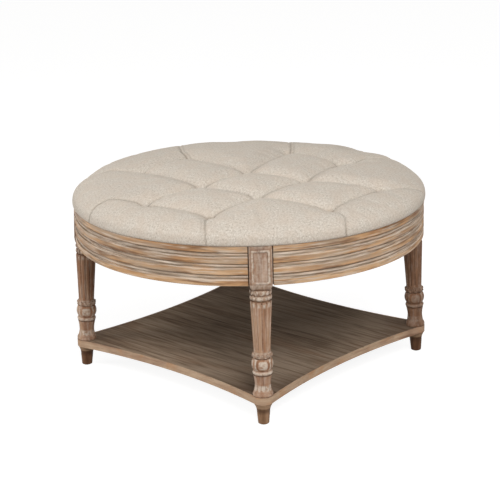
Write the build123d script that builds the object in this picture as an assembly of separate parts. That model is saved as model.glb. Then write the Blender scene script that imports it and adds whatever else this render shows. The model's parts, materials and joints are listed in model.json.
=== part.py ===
"""Round tufted ottoman coffee table: four carved legs, reeded apron, low shelf, tufted seat.

Millimetres, +Z up, origin on the floor under the centre of the top. The legs stand on the
diagonals, so the front of the table is the side that faces -Y.
"""

import math
import os

from build123d import *

# Heights of the main faces
overall_height = 470.0
seat_height = 76.3
apron_height = 85.1
shelf_top = 63.7
shelf_thickness = 16.0

# Legs: a square block on top of a turned shaft, leaning out towards the floor
leg_count = 4
first_leg_angle = 45.0
leg_spacing_angle = 360.0 / leg_count
leg_splay_angle = 2.5
leg_inset = 8.4
block_width = 48.0
block_drop = 10.9
block_chamfer = 5.0
leg_trim = 6.0

# Raised bead frame and sunk panel on the outer face of a leg block
frame_width = 38.5
frame_bead_width = 4.2
frame_bead_rise = 1.2
frame_top_margin = 9.8
frame_bottom_margin = 11.6
panel_sink = 1.5

# Turned members of a leg, from the shelf upwards
base_ring_height = 6.5
base_ring_radius = 21.3
ankle_lower_height = 17.8
ankle_upper_height = 16.0
ankle_radius = 17.0
ankle_end_radius = 20.0
lower_bead_height = 9.5
lower_bead_radius = 21.3
quirk_height = 1.5
quirk_radius = 18.3
bulb_height = 25.0
bulb_radius = 22.5
bulb_end_radius = 19.4
upper_bead_height = 15.0
upper_bead_radius = 21.5
shaft_lower_radius = 18.0
shaft_upper_radius = 22.8
shoulder_height = 5.0
shoulder_radius = 20.5
carved_ring_height = 10.5
carved_ring_radius = 23.0
ring_quirk_height = 1.4
ring_quirk_radius = 19.5

# Flutes of the shaft
flute_count = 12
flute_radius = 5.0
flute_depth = 2.1
flute_end_margin = 10.0

# Turned members of a foot, from the floor upwards
toe_height = 4.0
toe_radius = 10.4
foot_lower_radius = 12.0
foot_shank_height = 22.0
foot_waist_radius = 14.0
foot_cove_radius = 15.2
foot_collar_height = 3.5
foot_collar_radius = 19.4

# Floor glides and their nails
glide_radius = 9.0
glide_thickness = 4.5
glide_stand = 1.5
glide_nail_radius = 1.2
glide_nail_length = 14.0

# Apron segments with flat bands, and a bead between quirks in each groove
apron_radius = 398.0
apron_thickness = 24.0
band_count = 4
band_height = 13.2
band_edge = 1.2
groove_depth = 4.2
reed_height = 6.4
reed_rise = 2.6
shadow_gap_width = 2.2
shadow_gap_depth = 9.0

# Corner blocks behind the legs
corner_block_rise = 25.1
corner_block_width = 190.0
corner_block_inset = 68.0
glue_gap = 0.1

# Shelf: concave sides between rounded points that carry the legs
shelf_side_hollow = 120.6
shelf_point_radius = 22.0
lipping_thickness = 3.0
veneer_thickness = 0.8

# Studs that join a leg, the shelf and a foot
stud_radius = 4.0
stud_depth_in_leg = 34.0
stud_depth_in_foot = 24.0

# Leg bolts through the corner blocks, with washers and nuts
bolt_radius = 4.0
bolt_depth_in_leg = 24.0
bolt_spacing = 30.0
bolt_nut_overrun = 3.0
bolt_washer_radius = 9.0
bolt_washer_thickness = 1.6
nut_radius = 7.5
nut_thickness = 6.5

# Dowels between the apron segments and the leg blocks
dowel_radius = 4.0
dowel_depth_in_leg = 17.0
dowel_depth_in_apron = 22.0
dowel_edge_margin = 21.5

# Wood screws: corner blocks to apron, and corner blocks to seat deck
screw_radius = 2.1
screw_head_radius = 4.2
screw_head_height = 2.6
screw_tip_height = 5.0
corner_screw_length = 48.0
corner_screw_offset = 74.0
corner_screw_margin = 15.0
seat_screw_offset = 42.0
seat_screw_inset = 9.0
seat_screw_bite = 9.0

# Seat deck
deck_thickness = 12.0
deck_inset = 6.0

# Tufted cover over its wadding: crown of the whole seat
seat_bulge_overhang = 4.0
seat_bulge_rise = 9.0
seat_foot_inset = 1.4
crown_apex_rise = 2.6
crown_power = 1.61
crown_root = 2.3
crown_step_count = 16
hem_thickness = 1.2
hem_width = 40.0

# Blind tufts: places as shares of the bulge radius, and how deep each is drawn down
tuft_depth = 11.0
tuft_spread = 26.0
channel_depth = 9.0
channel_spread = 20.0
tuft_shares = (
    (0.045, -0.045, 1.0), (-0.035, -0.435, 1.0), (0.390, -0.343, 1.0), (0.328, -0.729, 0.6),
    (0.759, -0.221, 0.6), (0.386, 0.027, 1.0), (0.244, 0.532, 1.0), (0.761, 0.303, 0.6),
    (-0.117, -0.766, 0.6), (-0.572, -0.313, 1.0), (-0.542, 0.045, 1.0), (-0.112, 0.500, 1.0),
    (-0.545, 0.580, 0.6),
)
channel_pairs = (
    (0, 1), (0, 5), (0, 10), (0, 11), (1, 2), (1, 8), (1, 9), (2, 3), (2, 4), (2, 5), (3, 8),
    (4, 7), (5, 6), (5, 7), (6, 11), (9, 10), (10, 12), (11, 12),
)
rim_pleats = ((8, -111.0), (3, -62.0), (4, -18.0), (7, 34.0), (6, 68.0), (11, 111.0), (10, 170.0))

# Drawing grid of the tufted surface, how far its pillows swell, and its lift clear of the rim
seat_grid_count = 40
seat_grid_overrun = 6.0
pillow_swell = 4.0
rim_lift = 9.0
rim_lift_start_share = 0.84
rim_flat_share = 0.97

# Fibre wadding between the cover and the plain crown of the foam pad
wadding_thickness = 24.0

# Twines that pull the tufts down, and their washers let into the deck
twine_radius = 1.0
twine_overrun = 2.5
tuft_washer_radius = 8.0
tuft_washer_thickness = 2.0

# Dust cover and staples
dust_cover_inset = 7.0
dust_cover_thickness = 0.6
dust_cover_corner_gap = 2.0
staple_crown = 10.0
staple_wire = 0.9
staple_leg_length = 7.0
hem_staples_per_side = 7
hem_staple_inset = 9.0
dust_staples_per_side = 6
dust_staple_inset = 5.0

# Heights that follow from the sizes above
apron_top = overall_height - seat_height
apron_bottom = apron_top - apron_height
shelf_bottom = shelf_top - shelf_thickness
deck_bottom = apron_top + hem_thickness
deck_top = deck_bottom + deck_thickness
seat_bulge_height = deck_bottom + seat_bulge_rise
crown_rise = overall_height + crown_apex_rise - seat_bulge_height
corner_block_height = apron_height - corner_block_rise
corner_block_bottom = apron_top - corner_block_height
dowel_spacing = apron_height - 2 * dowel_edge_margin
block_height = apron_height + block_drop
frame_height = block_height - frame_top_margin - frame_bottom_margin
members_height = (base_ring_height + ankle_lower_height + ankle_upper_height + lower_bead_height
                  + 2 * quirk_height + bulb_height + upper_bead_height + shoulder_height
                  + 3 * ring_quirk_height + 2 * carved_ring_height)
shaft_height = apron_top - block_height - shelf_top - members_height

# Radii that follow from the apron's
apron_inner_radius = apron_radius - apron_thickness
foot_circle_radius = apron_radius - leg_inset
shelf_waist = foot_circle_radius - shelf_side_hollow
corner_block_inner_radius = apron_radius - corner_block_inset
deck_radius = apron_radius - deck_inset
hem_inner_radius = deck_radius - hem_width
dust_cover_radius = hem_inner_radius - dust_cover_inset
seat_bulge_radius = apron_radius + seat_bulge_overhang
seat_foot_radius = apron_radius - seat_foot_inset
block_half = block_width / 2
groove_height = (apron_height - band_count * band_height) / (band_count - 1)


def leg_axis_radius(height):
    """Distance from the table's centre to a leg's axis at a height above the floor."""
    return foot_circle_radius - height * math.tan(math.radians(leg_splay_angle))


def turned(bottom, members):
    """Solid of revolution from members of (height, lower radius, middle radius, upper radius)."""
    edges = []
    height = bottom
    last = Vector(0, 0, bottom)
    for member_height, lower, middle, upper in members:
        start = Vector(lower, 0, height)
        end = Vector(upper, 0, height + member_height)
        if (start - last).length > 0:
            edges.append(Line(last, start))
        if middle is None:
            edges.append(Line(start, end))
        else:
            crest = Vector(middle, 0, height + member_height / 2)
            edges.append(ThreePointArc(start, crest, end))
        height += member_height
        last = end
    axis_top = Vector(0, 0, height)
    if (axis_top - last).length > 0:
        edges.append(Line(last, axis_top))
    edges.append(Line(axis_top, Vector(0, 0, bottom)))
    return revolve(make_face(edges), axis=Axis.Z)


def rod(start, end, radius):
    """Round rod between two points."""
    direction = Vector(end) - Vector(start)
    plane = Plane(origin=start, z_dir=direction)
    return plane * Cylinder(radius, direction.length, align=(Align.CENTER, Align.CENTER, Align.MIN))


def block_between(low, high):
    """Box between its lowest and highest corners."""
    size = Vector(high) - Vector(low)
    return Pos(*low) * Box(size.X, size.Y, size.Z, align=(Align.MIN, Align.MIN, Align.MIN))


def wood_screw(length):
    """Countersunk screw along +Z with its head's face at the origin."""
    return turned(0, (
        (screw_head_height, screw_head_radius, None, screw_radius),
        (length - screw_head_height - screw_tip_height, screw_radius, None, screw_radius),
        (screw_tip_height, screw_radius, None, 0),
    ))


def at_corner(shape, index):
    """Turn a shape from the drawing axis, +X, to one of the four legs."""
    return Rot(0, 0, first_leg_angle + index * leg_spacing_angle) * shape


def at_all_corners(shapes):
    """Copies of some shapes at every leg."""
    return [at_corner(shape, index) for index in range(leg_count) for shape in shapes]


def lean(shape):
    """Set a shape drawn about the upright Z axis onto a leg's leaning axis, on +X."""
    return Pos(foot_circle_radius, 0, 0) * Rot(0, -leg_splay_angle, 0) * shape


# Leg: block, carved rings, fluted shaft, beads and bulb
def make_shaft(bottom):
    """Turned part of a leg, upright, and the height of its fluted stretch's lower end."""
    members = (
        (base_ring_height + leg_trim, base_ring_radius, None, base_ring_radius),
        (ankle_lower_height, ankle_end_radius, (ankle_end_radius + 2 * ankle_radius) / 3, ankle_radius),
        (ankle_upper_height, ankle_radius, (ankle_end_radius + 2 * ankle_radius) / 3, ankle_end_radius),
        (lower_bead_height, quirk_radius, lower_bead_radius, quirk_radius),
        (quirk_height, quirk_radius, None, quirk_radius),
        (bulb_height, bulb_end_radius, bulb_radius, bulb_end_radius),
        (quirk_height, quirk_radius, None, quirk_radius),
        (upper_bead_height, quirk_radius, upper_bead_radius, quirk_radius),
        (shaft_height, shaft_lower_radius, None, shaft_upper_radius),
        (shoulder_height, shaft_upper_radius, (shaft_upper_radius + shoulder_radius) / 2 + quirk_height / 2,
         shoulder_radius),
        (ring_quirk_height, ring_quirk_radius, None, ring_quirk_radius),
        (carved_ring_height, ring_quirk_radius, carved_ring_radius, ring_quirk_radius),
        (ring_quirk_height, ring_quirk_radius, None, ring_quirk_radius),
        (carved_ring_height, ring_quirk_radius, carved_ring_radius, ring_quirk_radius),
        (ring_quirk_height, ring_quirk_radius, None, ring_quirk_radius),
    )
    start = bottom - leg_trim
    flute_bottom = start + sum(member[0] for member in members[:8])
    top = start + sum(member[0] for member in members)
    return turned(start, members), flute_bottom, top


def cut_flutes(shaft, bottom):
    """Round-ended flutes that follow the shaft's taper."""
    low = bottom + flute_end_margin
    high = bottom + shaft_height - flute_end_margin
    taper = (shaft_upper_radius - shaft_lower_radius) / shaft_height
    offset = flute_radius - flute_depth
    low_point = Vector(shaft_lower_radius + taper * (low - bottom) + offset, 0, low)
    high_point = Vector(shaft_lower_radius + taper * (high - bottom) + offset, 0, high)
    gouge = rod(low_point, high_point, flute_radius)
    gouge += Pos(low_point) * Sphere(flute_radius)
    gouge += Pos(high_point) * Sphere(flute_radius)
    turns = [Rot(0, 0, 360.0 * index / flute_count) * gouge for index in range(flute_count)]
    return shaft - turns


def make_block(bottom):
    """Square head of a leg, upright, with the bead frame on its outer face, +X."""
    top = bottom + block_height + leg_trim
    block = block_between((-block_half, -block_half, bottom), (block_half, block_half, top))
    lower_edges = block.faces().sort_by(Axis.Z)[0].edges()
    block = chamfer(lower_edges, block_chamfer)
    frame_top = bottom + block_height - frame_top_margin
    frame_bottom = frame_top - frame_height
    half = frame_width / 2
    inner_half = half - frame_bead_width
    frame = block_between((block_half, -half, frame_bottom),
                          (block_half + frame_bead_rise, half, frame_top))
    sunk = block_between((block_half - panel_sink, -inner_half, frame_bottom + frame_bead_width),
                         (block_half + frame_bead_rise, inner_half, frame_top - frame_bead_width))
    outer_rim = frame.faces().sort_by(Axis.X)[-1].edges()
    frame = chamfer(outer_rim, frame_bead_rise * 0.6)
    return block + frame - sunk


def make_leg():
    """Whole leg on +X, leaning, cut level at the shelf and under the seat."""
    shaft, flute_bottom, shaft_top = make_shaft(shelf_top)
    shaft = cut_flutes(shaft, flute_bottom)
    leg = lean(shaft + make_block(shaft_top))
    reach = 2 * block_width
    radius = foot_circle_radius
    keep = block_between((radius - reach, -reach, shelf_top), (radius + reach, reach, apron_top))
    return leg & keep


# Foot below the shelf
def make_foot():
    """Turned foot on +X, cut level under the shelf and above its glide."""
    cove_height = shelf_bottom - toe_height - foot_shank_height - foot_collar_height
    foot = turned(0, (
        (toe_height, toe_radius, (toe_radius + foot_lower_radius) / 2 + glide_nail_radius / 2,
         foot_lower_radius),
        (foot_shank_height, foot_lower_radius, None, foot_waist_radius),
        (cove_height, foot_waist_radius, foot_cove_radius, foot_collar_radius),
        (foot_collar_height + leg_trim, foot_collar_radius, None, foot_collar_radius),
    ))
    reach = 2 * foot_collar_radius
    radius = foot_circle_radius
    keep = block_between((radius - reach, -reach, glide_stand), (radius + reach, reach, shelf_bottom))
    return lean(foot) & keep


def make_glide():
    """Nylon glide with its nail, level on the floor."""
    disc = Cylinder(glide_radius, glide_thickness, align=(Align.CENTER, Align.CENTER, Align.MIN))
    nail_top = glide_thickness + glide_nail_length
    nail = rod((0, 0, glide_thickness), (0, 0, nail_top), glide_nail_radius)
    return Pos(foot_circle_radius, 0, 0) * (disc + nail)


def make_stud():
    """Threaded stud along the leaning axis through the shelf's point."""
    low = shelf_bottom - stud_depth_in_foot
    high = shelf_top + stud_depth_in_leg
    return lean(rod((0, 0, low), (0, 0, high), stud_radius))


# Fasteners at one leg, all drawn on +X
def bolt_heights():
    """Heights of the two leg bolts, about the middle of the corner block."""
    middle = (corner_block_bottom + apron_top) / 2
    return middle - bolt_spacing / 2, middle + bolt_spacing / 2


def make_leg_bolts():
    """Bolts from inside the corner block into the leg block."""
    inner_end = (corner_block_inner_radius - bolt_washer_thickness - nut_thickness
                 - bolt_nut_overrun)
    bolts = []
    for height in bolt_heights():
        outer_end = leg_axis_radius(height) - block_half + bolt_depth_in_leg
        bolts.append(rod((inner_end, 0, height), (outer_end, 0, height), bolt_radius))
    return bolts


def make_bolt_washers():
    """Washers on the inner face of the corner block."""
    outer = corner_block_inner_radius
    inner = outer - bolt_washer_thickness
    washers = []
    for height in bolt_heights():
        disc = rod((inner, 0, height), (outer, 0, height), bolt_washer_radius)
        washers.append(disc - rod((inner, 0, height), (outer, 0, height), bolt_radius))
    return washers


def make_nuts():
    """Hexagon nuts against the washers."""
    outer = corner_block_inner_radius - bolt_washer_thickness
    inner = outer - nut_thickness
    nuts = []
    for height in bolt_heights():
        plane = Plane(origin=(inner, 0, height), z_dir=(1, 0, 0))
        nut = extrude(plane * RegularPolygon(nut_radius, 6), nut_thickness)
        nuts.append(nut - rod((inner, 0, height), (outer, 0, height), bolt_radius))
    return nuts


def make_dowels():
    """Dowels from both sides of a leg block into the ends of the apron segments."""
    centre = apron_radius - (apron_thickness + groove_depth / 2) / 2
    lowest = apron_bottom + dowel_edge_margin
    dowels = []
    for side in (-1, 1):
        for height in (lowest, lowest + dowel_spacing):
            inner = side * (block_half - dowel_depth_in_leg)
            outer = side * (block_half + dowel_depth_in_apron)
            dowels.append(rod((centre, inner, height), (centre, outer, height), dowel_radius))
    return dowels


def make_corner_screws():
    """Screws from the corner block's inner face into the apron segments."""
    screws = []
    for side in (-1, 1):
        for height in (corner_block_bottom + corner_screw_margin, apron_top - corner_screw_margin):
            plane = Plane(origin=(corner_block_inner_radius, side * corner_screw_offset, height),
                          z_dir=(1, 0, 0))
            screws.append(plane * wood_screw(corner_screw_length))
    return screws


def make_seat_screws():
    """Screws up through the corner block into the seat deck."""
    length = corner_block_height + hem_thickness + seat_screw_bite
    radius = corner_block_inner_radius + seat_screw_inset
    return [Pos(radius, side * seat_screw_offset, corner_block_bottom) * wood_screw(length)
            for side in (-1, 1)]


# Corner block behind a leg
def make_corner_block(leg, holes):
    """Block with a flat inner face, a curved outer face and a notch round the leg block."""
    half = corner_block_width / 2
    slab = block_between((corner_block_inner_radius, -half, corner_block_bottom),
                         (apron_inner_radius, half, apron_top))
    inside = Cylinder(apron_inner_radius - glue_gap, 2 * overall_height)
    return (slab & inside) - leg - holes


# Apron segment between two legs
def apron_outline():
    """Section of the apron: flat bands with eased edges, and a reed in each groove."""
    face = apron_radius
    eased = face - band_edge
    floor = face - groove_depth
    quirk = (groove_height - reed_height) / 2
    points = [(apron_inner_radius, apron_bottom)]
    edges = []
    height = apron_bottom

    def line_to(radius, level):
        edges.append(Line(Vector(points[-1][0], 0, points[-1][1]), Vector(radius, 0, level)))
        points.append((radius, level))

    for band in range(band_count):
        line_to(eased, height)
        line_to(face, height + band_edge)
        line_to(face, height + band_height - band_edge)
        height += band_height
        line_to(eased, height)
        if band == band_count - 1:
            break
        line_to(floor, height)
        line_to(floor, height + quirk)
        crest = Vector(floor + reed_rise, 0, height + quirk + reed_height / 2)
        end = (floor, height + quirk + reed_height)
        edges.append(ThreePointArc(Vector(floor, 0, height + quirk), crest, Vector(end[0], 0, end[1])))
        points.append(end)
        height += groove_height
        line_to(floor, height)
    line_to(apron_inner_radius, apron_top)
    line_to(apron_inner_radius, apron_bottom)
    return make_face(edges)


def make_apron(holes):
    """Segment centred on +X, its ends flat against the leg blocks with a shadow gap outside."""
    quarter = Rot(0, 0, -leg_spacing_angle / 2) * revolve(apron_outline(), axis=Axis.Z,
                                                         revolution_arc=leg_spacing_angle)
    outer = apron_radius + apron_thickness
    gap_inner = apron_radius - shadow_gap_depth
    half = block_half
    gap_half = block_half + shadow_gap_width
    leg_room = block_between((apron_inner_radius - apron_thickness, -half, apron_bottom),
                             (outer, half, apron_top))
    gap_room = block_between((gap_inner, -gap_half, apron_bottom), (outer, gap_half, apron_top))
    cutters = []
    for side in (-1, 1):
        turn = Rot(0, 0, side * leg_spacing_angle / 2)
        cutters += [turn * shape for shape in [leg_room, gap_room] + holes]
    return quarter - cutters


# Shelf
def shelf_outline(inset):
    """Four-pointed face whose concave sides run tangent into the rounded points."""
    point_centre = leg_axis_radius(shelf_top)
    across = point_centre * math.sqrt(0.5)
    drop = shelf_waist - across
    side_radius = ((drop ** 2 + across ** 2 - shelf_point_radius ** 2)
                   / (2 * (shelf_point_radius - drop)))
    side_centre = shelf_waist + side_radius
    share = side_radius / (side_radius + shelf_point_radius)
    touch_x = side_centre + (across - side_centre) * share
    touch_y = across * share
    to_touch = Vector(touch_x - across, touch_y - across, 0).normalized()
    join = Vector(across, across, 0) + to_touch * (shelf_point_radius - inset)
    tip = (point_centre + shelf_point_radius - inset) * math.sqrt(0.5)
    edges = []
    for index in range(leg_count):
        turn = Rot(0, 0, index * leg_spacing_angle)
        mirrored = Vector(join.X, -join.Y, 0)
        side = ThreePointArc(mirrored, Vector(shelf_waist - inset, 0, 0), join)
        point = ThreePointArc(join, Vector(tip, tip, 0), Vector(join.Y, join.X, 0))
        edges += [turn * side, turn * point]
    return make_face(edges)


def shelf_layer(inset, low, high):
    """Slab of the shelf's outline between two heights."""
    return Pos(0, 0, low) * extrude(shelf_outline(inset), high - low)


def make_lipping():
    """Edge strip of the +X side, mitred on the diagonals."""
    ring = shelf_layer(0, shelf_bottom, shelf_top) - shelf_layer(lipping_thickness, shelf_bottom, shelf_top)
    reach = foot_circle_radius
    wedge = make_face(Polyline((0, 0), (reach, -reach), (reach, reach), close=True))
    return ring & Pos(0, 0, shelf_bottom) * extrude(wedge, shelf_thickness)


# Seat
def crown_height(radius, inset=0.0):
    """Height of the crowned seat over a radius, for the cover or for a form inset inside it."""
    share = min(radius / (seat_bulge_radius - inset), 1.0)
    return (seat_bulge_height + (crown_rise - inset)
            * (1 - share ** crown_power) ** (1 / crown_root))


def tuft_place(index):
    """Plan point of a tuft, and the share of the full depth that it is drawn down by."""
    x_share, y_share, draw = tuft_shares[index]
    return Vector(x_share * seat_bulge_radius, y_share * seat_bulge_radius, 0), draw


def channel_lines():
    """Straight channels between neighbouring tufts, and from the outer tufts to the rim."""
    lines = []
    for first, second in channel_pairs:
        lines.append((tuft_place(first)[0], tuft_place(second)[0]))
    for index, angle in rim_pleats:
        rim = Vector(seat_bulge_radius * math.cos(math.radians(angle)),
                     seat_bulge_radius * math.sin(math.radians(angle)), 0)
        lines.append((tuft_place(index)[0], rim))
    return lines


def distance_to_line(point, start, end):
    """Distance in plan from a point to a straight channel."""
    along = end - start
    share = max(0.0, min(1.0, (point - start).dot(along) / along.dot(along)))
    return (point - (start + along * share)).length


def drawn_down(point, lines):
    """How far the tufts and channels draw the crown down at a plan point."""
    tuft = 0.0
    for index in range(len(tuft_shares)):
        place, draw = tuft_place(index)
        tuft = max(tuft, draw * tuft_depth * math.exp(-(point - place).length / tuft_spread))
    nearest = min(distance_to_line(point, start, end) for start, end in lines)
    return tuft + channel_depth * math.exp(-nearest / channel_spread)


def tufted_height(plan, lines):
    """Height of the tufted surface, lifted at the rim so that the crown bounds it there."""
    radius = min(plan.length, seat_bulge_radius)
    over = max(0.0, radius / seat_bulge_radius - rim_lift_start_share)
    lift = rim_lift * (over / (1 - rim_lift_start_share)) ** 2
    flat_radius = min(radius, rim_flat_share * seat_bulge_radius)
    return crown_height(flat_radius) + pillow_swell + lift - drawn_down(plan, lines)


def tufted_slab(bottom):
    """Slab under the tufted surface, ruled between cross sections from front to rear."""
    lines = channel_lines()
    reach = seat_bulge_radius + seat_grid_overrun
    sections = []
    for row in range(seat_grid_count + 1):
        across = reach * (2 * row / seat_grid_count - 1)
        points = []
        for column in range(seat_grid_count + 1):
            along = reach * (2 * column / seat_grid_count - 1)
            height = tufted_height(Vector(along, across, 0), lines)
            points.append(Vector(along, across, height))
        left = Vector(-reach, across, bottom)
        right = Vector(reach, across, bottom)
        sections.append(make_face([
            Spline(points),
            Line(points[-1], right),
            Line(right, left),
            Line(left, points[0]),
        ]))
    return loft(sections, ruled=True)


def crowned_form(inset, bottom, crown_curve):
    """Revolved crown with drawn-in sides, from the seat's foot up to its middle."""
    bulge = seat_bulge_radius - inset
    crown_points = []
    for step in range(crown_step_count + 1):
        angle = math.pi / 2 * (1 - step / crown_step_count)
        radius = bulge * math.sin(angle)
        crown_points.append(Vector(radius, 0, crown_height(radius, inset)))
    foot = Vector(seat_foot_radius - inset, 0, bottom)
    edges = [
        Line(Vector(0, 0, bottom), foot),
        Spline([foot, crown_points[0]], tangents=[(1, 0, 1), (0, 0, 1)]),
        crown_curve(crown_points),
        Line(crown_points[-1], Vector(0, 0, bottom)),
    ]
    return revolve(make_face(edges), axis=Axis.Z)


def make_twines_and_washers():
    """A twine from each tuft down through the foam and the deck, and its washer."""
    twines = []
    washers = []
    for index in range(len(tuft_shares)):
        place, draw = tuft_place(index)
        top = crown_height(place.length, wadding_thickness) + twine_overrun
        centre = Vector(place.X, place.Y, deck_bottom)
        washer = rod(centre, centre + Vector(0, 0, tuft_washer_thickness), tuft_washer_radius)
        twine = rod(centre, Vector(place.X, place.Y, top), twine_radius)
        twines.append(twine)
        washers.append(washer - twine)
    return twines, washers


def make_staple(radius, angle, level):
    """Staple across a radius, its legs driven up into the deck."""
    low = level - staple_wire
    half = staple_crown / 2
    wire = staple_wire / 2
    crown = block_between((-wire, -half, low), (wire, half, level))
    leg = block_between((-wire, half - staple_wire, low), (wire, half, low + staple_leg_length))
    other = block_between((-wire, -half, low), (wire, staple_wire - half, low + staple_leg_length))
    return Rot(0, 0, angle) * Pos(radius, 0, 0) * (crown + leg + other)


def staple_arcs(count, radius, level):
    """Staples spaced evenly on the arc of each side that the corner blocks leave free."""
    blocked = math.degrees(math.asin((corner_block_width / 2 + staple_crown) / radius))
    free = leg_spacing_angle - 2 * blocked
    staples = []
    for side in range(leg_count):
        for index in range(count):
            angle = side * leg_spacing_angle - free / 2 + free * (index + 0.5) / count
            staples.append(make_staple(radius, angle, level))
    return staples


def make_dust_cover():
    """Round cloth under the deck, cut back at the corner blocks."""
    cloth = Cylinder(dust_cover_radius, dust_cover_thickness,
                     align=(Align.CENTER, Align.CENTER, Align.MAX))
    cloth = Pos(0, 0, deck_bottom) * cloth
    low = corner_block_inner_radius - dust_cover_corner_gap
    half = corner_block_width / 2 + dust_cover_corner_gap
    notch = block_between((low, -half, apron_bottom), (apron_radius, half, deck_top))
    return cloth - at_all_corners([notch])


def save(name, shapes):
    """Write one sub-part, a solid or a group of separate solids."""
    solids = []
    for shape in shapes:
        solids += shape.solids()
    shape = solids[0] if len(solids) == 1 else Compound(solids)
    export_step(shape, f"parts/{name}.step")


def main():
    os.makedirs("parts", exist_ok=True)
    leg_names = ("rear_right", "rear_left", "front_left", "front_right")
    side_names = ("right", "rear", "left", "front")

    studs = [make_stud()]
    bolts = make_leg_bolts()
    dowels = make_dowels()
    corner_screws = make_corner_screws()
    seat_screws = make_seat_screws()
    glides = [make_glide()]
    whole_leg = make_leg()
    corner_block = make_corner_block(whole_leg, bolts + corner_screws + seat_screws)
    leg = whole_leg - (studs + bolts + dowels)
    foot = make_foot() - (studs + glides)
    apron = make_apron(dowels + corner_screws)
    lipping = make_lipping()
    for index in range(leg_count):
        save(f"leg_{leg_names[index]}", [at_corner(leg, index)])
        save(f"foot_{leg_names[index]}", [at_corner(foot, index)])
        save(f"corner_block_{leg_names[index]}", [at_corner(corner_block, index)])
        turn = Rot(0, 0, index * leg_spacing_angle)
        save(f"apron_{side_names[index]}", [turn * apron])
        save(f"shelf_lipping_{side_names[index]}", [turn * lipping])
    save("leg_studs", at_all_corners(studs))
    save("leg_bolts", at_all_corners(bolts))
    save("bolt_washers", at_all_corners(make_bolt_washers()))
    save("bolt_nuts", at_all_corners(make_nuts()))
    save("apron_dowels", at_all_corners(dowels))
    save("corner_block_screws", at_all_corners(corner_screws))
    save("seat_screws", at_all_corners(seat_screws))
    save("floor_glides", at_all_corners(glides))

    all_studs = at_all_corners(studs)
    inset = lipping_thickness
    panel_low = shelf_bottom + veneer_thickness
    panel_high = shelf_top - veneer_thickness
    save("shelf_panel", [shelf_layer(inset, panel_low, panel_high) - all_studs])
    save("shelf_top_veneer", [shelf_layer(inset, panel_high, shelf_top) - all_studs])
    save("shelf_bottom_veneer", [shelf_layer(inset, shelf_bottom, panel_low) - all_studs])

    twines, washers = make_twines_and_washers()
    hem_staples = staple_arcs(hem_staples_per_side, hem_inner_radius + hem_staple_inset, apron_top)
    dust_level = deck_bottom - dust_cover_thickness
    dust_staples = staple_arcs(dust_staples_per_side, dust_cover_radius - dust_staple_inset, dust_level)
    dust_cover = make_dust_cover()
    deck = rod((0, 0, deck_bottom), (0, 0, deck_top), deck_radius)
    cover = crowned_form(0, apron_top, Spline) & tufted_slab(apron_bottom)
    foam = crowned_form(wadding_thickness, apron_top, Polyline)
    foam -= rod((0, 0, apron_bottom), (0, 0, deck_top), seat_bulge_radius)
    hem_room = rod((0, 0, apron_top), (0, 0, deck_bottom), hem_inner_radius)
    save("seat_cover", [cover - [hem_room, deck, foam] - twines - hem_staples])
    save("foam_pad", [foam - twines])
    save("seat_deck", [deck - twines - washers - at_all_corners(seat_screws)
                       - hem_staples - dust_staples])
    save("tuft_twines", twines)
    save("tuft_washers", washers)
    save("dust_cover", [dust_cover - dust_staples])
    save("cover_staples", hem_staples)
    save("dust_cover_staples", dust_staples)


main()
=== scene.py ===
# %% [markdown]
# # A round tufted ottoman coffee table
#
# This lesson dresses a table that was built first as solids. The solids come in as a fixed frame:
# four carved legs, a reeded apron in four curved pieces, a low shelf with hollow sides, and a
# tufted linen seat. Shapes that the solids hold well stay and only get a finish. The legs, the seat
# and the cloth under it are made again here, finer, and nearer to the photograph.
#
# Everything is in metres, with Z up and the front of the table facing -Y.

import json
import math

import bmesh
import bpy
import numpy as np
from mathutils import Matrix, Vector


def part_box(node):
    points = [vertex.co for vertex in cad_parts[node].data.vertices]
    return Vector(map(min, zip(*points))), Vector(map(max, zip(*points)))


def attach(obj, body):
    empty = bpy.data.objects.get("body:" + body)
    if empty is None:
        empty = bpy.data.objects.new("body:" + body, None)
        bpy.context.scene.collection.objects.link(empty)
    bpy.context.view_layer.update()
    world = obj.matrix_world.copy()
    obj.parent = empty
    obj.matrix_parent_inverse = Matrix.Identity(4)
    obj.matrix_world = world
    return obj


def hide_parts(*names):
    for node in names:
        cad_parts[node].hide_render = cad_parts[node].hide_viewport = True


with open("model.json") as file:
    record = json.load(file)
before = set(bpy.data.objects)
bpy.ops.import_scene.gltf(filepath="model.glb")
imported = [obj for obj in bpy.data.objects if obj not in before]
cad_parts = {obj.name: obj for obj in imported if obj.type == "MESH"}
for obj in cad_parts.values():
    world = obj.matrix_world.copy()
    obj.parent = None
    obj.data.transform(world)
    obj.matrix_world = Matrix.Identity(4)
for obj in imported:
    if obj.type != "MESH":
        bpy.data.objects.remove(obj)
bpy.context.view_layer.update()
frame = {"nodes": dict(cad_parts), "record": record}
nodes = frame["nodes"]

# %% Small helpers
MM = 0.001


def new_object(name, data):
    """Object that holds the data, linked to the scene."""
    made = bpy.data.objects.new(name, data)
    bpy.context.scene.collection.objects.link(made)
    return made


def built(holder):
    """New mesh of an object, with its modifiers applied."""
    ready = holder.evaluated_get(bpy.context.evaluated_depsgraph_get())
    return bpy.data.meshes.new_from_object(ready)


def point_array(mesh, what="co"):
    """Places of a mesh's points, or their normals, one row each."""
    values = np.zeros(len(mesh.vertices) * 3)
    mesh.vertices.foreach_get(what, values)
    return values.reshape(-1, 3)


def point_values(mesh, name):
    """Numbers that a mesh keeps at its points."""
    values = np.zeros(len(mesh.vertices), np.float32)
    mesh.attributes[name].data.foreach_get("value", values)
    return values.astype(float)


def bridge(first, second):
    """Quads between two rings that have equally many points."""
    around = len(first)
    return [(first[number], first[(number + 1) % around], second[(number + 1) % around], second[number])
            for number in range(around)]


def add_values(mesh, name, values):
    """Keeps a number at each point of a mesh, for a finish or a later step to read."""
    layer = mesh.attributes.new(name, "FLOAT", "POINT")
    layer.data.foreach_set("value", np.asarray(values, np.float32))


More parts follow.
